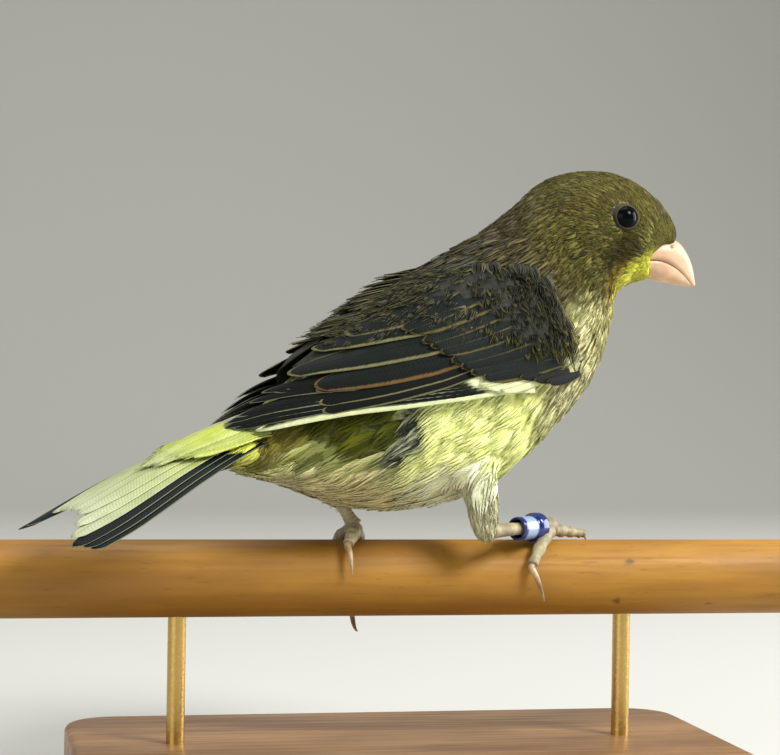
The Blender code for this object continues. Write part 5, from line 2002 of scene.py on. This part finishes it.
@dataclass
class Legs:
    """Scaled shanks, feet, claws and the ring, in the model's millimetres."""

    toe_lift: float = 0.35
    shank_radius: float = 1.15
    foot_x: dict[Side, float] = field(default_factory=lambda: {Side.RIGHT: 24.9, Side.LEFT: -8.9})
    tarsus: dict[Side, tuple] = field(default_factory=lambda: {
        Side.RIGHT: ((24.9, -0.6, 8.7), (12.2, -10.7, 8.6)),
        Side.LEFT: ((-8.9, -0.2, 8.9), (-12.4, 0.4, 14.6)),
    })
    toes: dict[Side, dict[str, tuple]] = field(default_factory=lambda: {
        Side.RIGHT: {
            "hind": (-0.6, -4.7, -12.0, -68.0, -116.0, 1.2, 2.1, 0.9),
            "inner": (0.6, 6.2, 3.0, 18.0, 44.0, 1.05, 2.2, 0.9),
            "middle": (0.3, 1.6, 8.0, 108.0, 146.0, 1.15, 0.4, 0.9),
            "outer": (-0.3, -2.6, 6.0, 84.0, 118.0, 1.05, -0.5, 0.9),
        },
        Side.LEFT: {
            "hind": (0.0, -1.6, -12.0, -38.0, -82.0, 1.2, 0.1, 0.7),
            "inner": (-0.4, -3.2, 6.0, 80.0, 114.0, 1.05, -0.6, 0.9),
            "middle": (0.1, 0.9, 8.0, 130.0, 184.0, 1.15, 0.0, 2.0),
            "outer": (0.5, 4.2, 6.0, 84.0, 118.0, 1.05, 0.7, 0.9),
        },
    })

    def round_perch(self, x: float, angle: float, radius: float) -> np.ndarray:
        """A point round the perch; angle 0 is on top, positive to the far side."""
        return np.array([x, radius * math.sin(angle), PERCH_HEIGHT + radius * math.cos(angle)])

    def toe_path(self, side: Side, sizes: tuple, count: int) -> tuple[np.ndarray, list[float]]:
        """Middle line and radii of a toe.

        Args:
            side: Which foot.
            sizes: Start and end x, start, toe end and claw end angles, radius, claw drift and rise.
            count: Stations.

        Returns:
            The path and the radius at each station.
        """
        x0, x1, a0, a1, _, r, _, _ = sizes
        base = self.foot_x[side]
        path, radii = [], []
        for u in np.linspace(0, 1, count):
            pads = 0.11 * math.cos(2 * math.pi * u * 3.0) + 0.07 * abs(math.sin(math.pi * u * 12.0)) ** 0.5
            radii.append(r * (1 - 0.32 * u) * (1.0 + pads))
            out = PERCH_RADIUS + self.toe_lift + r * 1.13 - 0.25 * r * u
            path.append(self.round_perch(base + x0 + (x1 - x0) * u, math.radians(a0 + (a1 - a0) * u), out))
        return np.array(path), radii

    def claw_path(self, side: Side, sizes: tuple, toe: np.ndarray, count: int) -> tuple[np.ndarray, list[float]]:
        """Middle line and radii of a claw.

        Args:
            side: Which foot.
            sizes: The toe's sizes.
            toe: The toe's path.
            count: Stations.

        Returns:
            The path and the radius at each station.
        """
        x0, x1, a0, a1, a2, r, drift, rise = sizes
        base = self.foot_x[side]
        heading = (toe[-1] - toe[-2]) / np.linalg.norm(toe[-1] - toe[-2])
        root = toe[-1] + heading * 0.36
        path, radii = [root - heading * 0.5], [0.66]
        start = a1 + math.copysign(2.6, a1 - a0)
        shift = None
        for u in np.linspace(0, 1, count):
            out = PERCH_RADIUS + self.toe_lift + 0.2 + r * 0.75 * (1 - u) + 0.75 * math.sin(math.pi * u) + rise * u * u
            spot = self.round_perch(base + x1 + drift * u, math.radians(start + (a2 - start) * u), out)
            if shift is None:
                shift = root + heading * 0.35 - spot
            path.append(spot + shift * (1 - u) ** 1.5)
            radii.append(0.62 * (1 - u) ** 0.75 + 0.05)
        return np.array(path), radii

    def build(self) -> None:
        """Makes both legs and the ring."""
        hide = HornFinish("foot_finish", tint(180, 170, 132), tint(122, 108, 80), (1.0, 1.0, 1.0), 0.5, 0.00006, 0.1).make()
        horn = HornFinish("claw_finish", tint(196, 168, 132), tint(128, 98, 72), (1.0, 1.0, 1.0), 0.32, 0.00002, 0.1).make()
        for side in Side:
            claws = bmesh.new()
            foot = bmesh.new()
            for name, sizes in self.toes[side].items():
                path, radii = self.toe_path(side, sizes, 60)
                loft(foot, tube_ribs(path, radii, 18))
                claw, sharp = self.claw_path(side, sizes, path, 26)
                loft(claws, tube_ribs(claw, sharp, 14, 0.85))
            knob = bmesh.ops.create_uvsphere(foot, u_segments=32, v_segments=20, radius=1.0)["verts"]
            bmesh.ops.scale(foot, verts=knob, vec=(1.6, 1.6, 1.25))
            bmesh.ops.translate(foot, verts=knob, vec=(self.foot_x[side], -0.2, PERCH_HEIGHT + PERCH_RADIUS + 1.8))
            low, high = self.ends(side)
            shares = np.linspace(0.0, 1.0, 130)
            widths = np.interp(shares, (0.0, 0.12, 0.3, 0.6, 0.85, 1.0), (1.45, 1.2, 1.0, 1.0, 1.15, 1.35))
            scales = 0.86 + 0.07 * np.abs(np.sin(math.pi * shares * 10.0)) ** 0.4
            path = low + np.outer(shares * 1.06 - 0.03, high - low)
            loft(foot, tube_ribs(path, list(self.shank_radius * widths * scales * 0.97), 24))
            foot_piece = to_object(f"hide_{side.word}", foot, hide)
            add_to_frame(foot_piece, "foot", f"foot_{side.word}", f"shank_{side.word}")
            nodes = [f"claw_{side.word}_{name}" for name in self.toes[side]]
            add_to_frame(to_object(f"claws_{side.word}", claws, horn), "claw", *nodes)
        self.ring()

    def ends(self, side: Side) -> tuple[np.ndarray, np.ndarray]:
        """Lower and upper end of a shank."""
        low, high = (np.array(p) + np.array([0, 0, PERCH_HEIGHT]) for p in self.tarsus[side])
        return low, high

    def ring(self) -> None:
        """The bare blue ring on the right shank."""
        low, high = self.ends(Side.RIGHT)
        along = (high - low) / np.linalg.norm(high - low)
        start = low + along * 3.2
        profile = (
            (1.62, 0.0), (2.2, 0.0), (2.36, 0.06), (2.43, 0.2), (2.45, 0.5), (2.45, 1.7), (2.38, 1.98), (2.1, 2.2),
            (1.99, 2.4), (1.98, 2.7), (1.98, 2.9), (1.98, 4.0), (1.98, 5.2), (1.98, 5.5), (1.98, 5.8), (1.95, 6.1),
            (1.84, 6.26), (1.62, 6.3),
        )
        bm = bmesh.new()
        made = [bm.verts.new((r, 0.0, h)) for r, h in profile]
        edges = [bm.edges.new((a, b)) for a, b in zip(made, made[1:] + made[:1])]
        bmesh.ops.spin(bm, geom=made + edges, cent=(0, 0, 0), axis=(0, 0, 1), angle=2 * math.pi, steps=72, use_merge=True)
        turn = Vector((0, 0, 1)).rotation_difference(Vector(along)).to_matrix().to_4x4()
        bm.transform(Matrix.Translation(Vector(start)) @ turn)
        finish = GlossFinish(
            "ring_finish", tint(12, 34, 104), 0.14, 0.1, 0.6, 0.12, tint(40, 84, 160), 0.5, tint(150, 172, 204),
        ).make()
        piece = to_object("ring_band", bm, finish)
        self.mark_band(piece, start, along)
        add_to_frame(piece, "leg_ring", "leg_ring")

    def mark_band(self, piece: bpy.types.Object, start: np.ndarray, along: np.ndarray) -> None:
        """Marks the ring's narrow part, which is paler between two blue edges.

        Args:
            piece: The ring.
            start: Where it starts.
            along: Its axis.
        """
        points = np.empty(len(piece.data.vertices) * 3)
        piece.data.vertices.foreach_get("co", points)
        place = (points.reshape(-1, 3) / MM - start) @ along
        share = (smooth_step(place, 2.6, 2.8) * (1.0 - smooth_step(place, 5.3, 5.6))).astype(np.float32)
        layer = piece.data.attributes.new("band", "FLOAT", "POINT")
        layer.data.foreach_set("value", share)


@dataclass
class Stand:
    """Flat base, two short rods and the cut length of perch."""

    perch_length: float = 145.0
    base: tuple[float, float, float] = (110.0, 58.0, 7.0)
    rod_radius: float = 1.5
    rod_spacing: float = 76.0

    def build(self) -> None:
        """Makes the stand's four pieces."""
        self.plate()
        self.dowel()
        brass = GlossFinish("rod_finish", tint(196, 164, 96), 0.26, 1.0, 0.0, 0.12).make()
        for name, x in (("left", -self.rod_spacing / 2), ("right", self.rod_spacing / 2)):
            bm = bmesh.new()
            bmesh.ops.create_cone(
                bm, cap_ends=True, segments=48, radius1=self.rod_radius, radius2=self.rod_radius,
                depth=PERCH_HEIGHT - 4.0 - self.base[2] + 1.0,
            )
            bmesh.ops.translate(bm, verts=bm.verts, vec=(x, 0, (PERCH_HEIGHT - 4.0 + self.base[2] - 1.0) / 2))
            piece = to_object(f"rod_{name}", bm, brass, smooth=True)
            piece.data.set_sharp_from_angle(angle=math.radians(40))
            add_to_frame(piece, "stand_rod", f"stand_rod_{name}")

    def plate(self) -> None:
        """The varnished base."""
        bm = bmesh.new()
        bmesh.ops.create_cube(bm, size=1.0)
        bmesh.ops.scale(bm, verts=bm.verts, vec=self.base)
        bmesh.ops.translate(bm, verts=bm.verts, vec=(0, 0, self.base[2] / 2))
        upright = [e for e in bm.edges if abs(e.verts[0].co.z - e.verts[1].co.z) > 1]
        bmesh.ops.bevel(
            bm, geom=upright, offset=9.0, offset_type="OFFSET", segments=14, profile=0.5, affect="EDGES", material=-1,
        )
        top = [e for e in bm.edges if all(v.co.z > self.base[2] - 0.01 for v in e.verts)]
        bmesh.ops.bevel(
            bm, geom=top, offset=1.2, offset_type="OFFSET", segments=6, profile=0.5, affect="EDGES", material=-1,
        )
        finish = WoodFinish("base_finish", tint(150, 112, 70), tint(120, 84, 50), tint(70, 46, 26), 0.36, 0.0).make()
        piece = to_object("plate", bm, finish)
        piece.data.set_sharp_from_angle(angle=math.radians(40))
        add_to_frame(piece, "stand_base", "stand_base")

    def dowel(self) -> None:
        """The cut length of perch, its ends eased."""
        bm = bmesh.new()
        bmesh.ops.create_cone(
            bm, cap_ends=True, segments=96, radius1=PERCH_RADIUS, radius2=PERCH_RADIUS, depth=self.perch_length,
        )
        ends = [e for e in bm.edges if abs(e.verts[0].co.z - e.verts[1].co.z) < 1e-4]
        bmesh.ops.bevel(bm, geom=ends, offset=0.5, offset_type="OFFSET", segments=4, profile=0.5, affect="EDGES", material=-1)
        bm.transform(Matrix.Translation((0, 0, PERCH_HEIGHT)) @ Matrix.Rotation(math.radians(90), 4, "Y"))
        finish = WoodFinish("perch_finish", tint(162, 113, 22), tint(134, 90, 16), tint(80, 50, 14), 0.62, 0.75).make()
        piece = to_object("dowel", bm, finish)
        piece.data.set_sharp_from_angle(angle=math.radians(40))
        add_to_frame(piece, "stand_perch", "stand_perch")


@dataclass
class Studio:
    """Pale floor swept up at the back, soft lights and the photo's viewpoint."""

    width: float = 3.0
    location: tuple[float, float, float] = (-0.07279, -0.34287, 0.06744)
    yaw: float = math.radians(11.5)
    roll: float = math.radians(0.9)
    lens: float = 96.6

    def build(self) -> None:
        """Makes backdrop, lights, world and camera."""
        self.backdrop()
        self.light("key", (0.42, -0.42, 0.60), 0.26, 7.6)
        self.light("side", (0.72, 0.06, 0.22), 0.5, 5.0)
        self.light("fill", (-0.6, -0.5, 0.3), 0.6, 2.6)
        self.light("top", (0.0, 0.15, 0.75), 0.5, 3.2)
        world = bpy.data.worlds.new("studio")
        world.use_nodes = True
        world.node_tree.nodes["Background"].inputs[0].default_value = (1.0, 0.98, 0.94, 1.0)
        world.node_tree.nodes["Background"].inputs[1].default_value = 0.34
        scene = bpy.context.scene
        scene.world = world
        scene.view_settings.view_transform = "Standard"
        ahead = Vector((math.sin(self.yaw), math.cos(self.yaw), 0.0))
        level = Vector((math.cos(self.yaw), -math.sin(self.yaw), 0.0))
        up = Vector((0.0, 0.0, 1.0))
        right = level * math.cos(self.roll) + up * math.sin(self.roll)
        over = up * math.cos(self.roll) - level * math.sin(self.roll)
        data = bpy.data.cameras.new("camera")
        data.lens = self.lens
        data.sensor_width = 36.0
        data.sensor_fit = "HORIZONTAL"
        data.clip_start = 0.01
        camera = bpy.data.objects.new("camera", data)
        turn = Matrix((right, over, -ahead)).transposed().to_4x4()
        camera.matrix_world = Matrix.Translation(self.location) @ turn
        scene.collection.objects.link(camera)
        scene.camera = camera

    def backdrop(self) -> None:
        """A floor that curves up into a plain wall."""
        bm = bmesh.new()
        line = [(-1.6, 0.0), (0.7, 0.0)]
        line += [(0.7 + 0.5 * math.sin(a), 0.5 - 0.5 * math.cos(a)) for a in np.linspace(0.08, math.pi / 2, 20)]
        line += [(1.2, 1.8)]
        made = [bm.verts.new((-self.width / 2, y, z)) for y, z in line]
        edges = [bm.edges.new(pair) for pair in zip(made, made[1:])]
        moved = bmesh.ops.extrude_edge_only(bm, edges=edges)["geom"]
        verts = [v for v in moved if isinstance(v, bmesh.types.BMVert)]
        bmesh.ops.translate(bm, verts=verts, vec=(self.width, 0, 0))
        g = Graph("backdrop_finish")
        g.shader.inputs["Base Color"].default_value = (*tint(186, 186, 180), 1.0)
        g.shader.inputs["Roughness"].default_value = 0.9
        piece = to_object("backdrop", bm, g.material, 1.0)

    def light(self, name: str, place: tuple[float, float, float], size: float, power: float) -> None:
        """Adds a square area light that looks at the bird.

        Args:
            name: Its name.
            place: Where it hangs, in metres.
            size: Its side in metres.
            power: Its power in watts.
        """
        data = bpy.data.lights.new(name, "AREA")
        data.size = size
        data.energy = power
        lamp = bpy.data.objects.new(name, data)
        lamp.location = place
        lamp.rotation_euler = (Vector((0.0, 0.0, 0.07)) - Vector(place)).to_track_quat("-Z", "Y").to_euler()
        bpy.context.scene.collection.objects.link(lamp)


def visual_box() -> tuple[list[float], list[float]]:
    """Corners of everything that will be seen of the model."""
    low, high = np.full(3, 1e9), np.full(3, -1e9)
    for obj in bpy.data.objects:
        if obj.type != "MESH" or obj.name == "backdrop" or obj.hide_render:
            continue
        points = np.empty(len(obj.data.vertices) * 3)
        obj.data.vertices.foreach_get("co", points)
        points = points.reshape(-1, 3)
        low, high = np.minimum(low, points.min(axis=0)), np.maximum(high, points.max(axis=0))
    return [float(c) for c in low], [float(c) for c in high]


def main() -> None:
    """Builds the looks over the frame, one class after another."""
    logging.basicConfig(level=logging.INFO, format="%(name)s %(message)s")
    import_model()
    tail = Tail()
    skin = Skin(tail=tail)
    skin.build()
    eyes = Eyes()
    Coat(skin, eyes.centre_l).build()
    sheet = WingSheet()
    for side in Side:
        Wing(side, sheet).build()
    tail.build()
    Bill().build()
    eyes.build()
    Legs().build()
    Stand().build()
    Studio().build()
    low, high = visual_box()


if __name__ == "__main__":
    main()
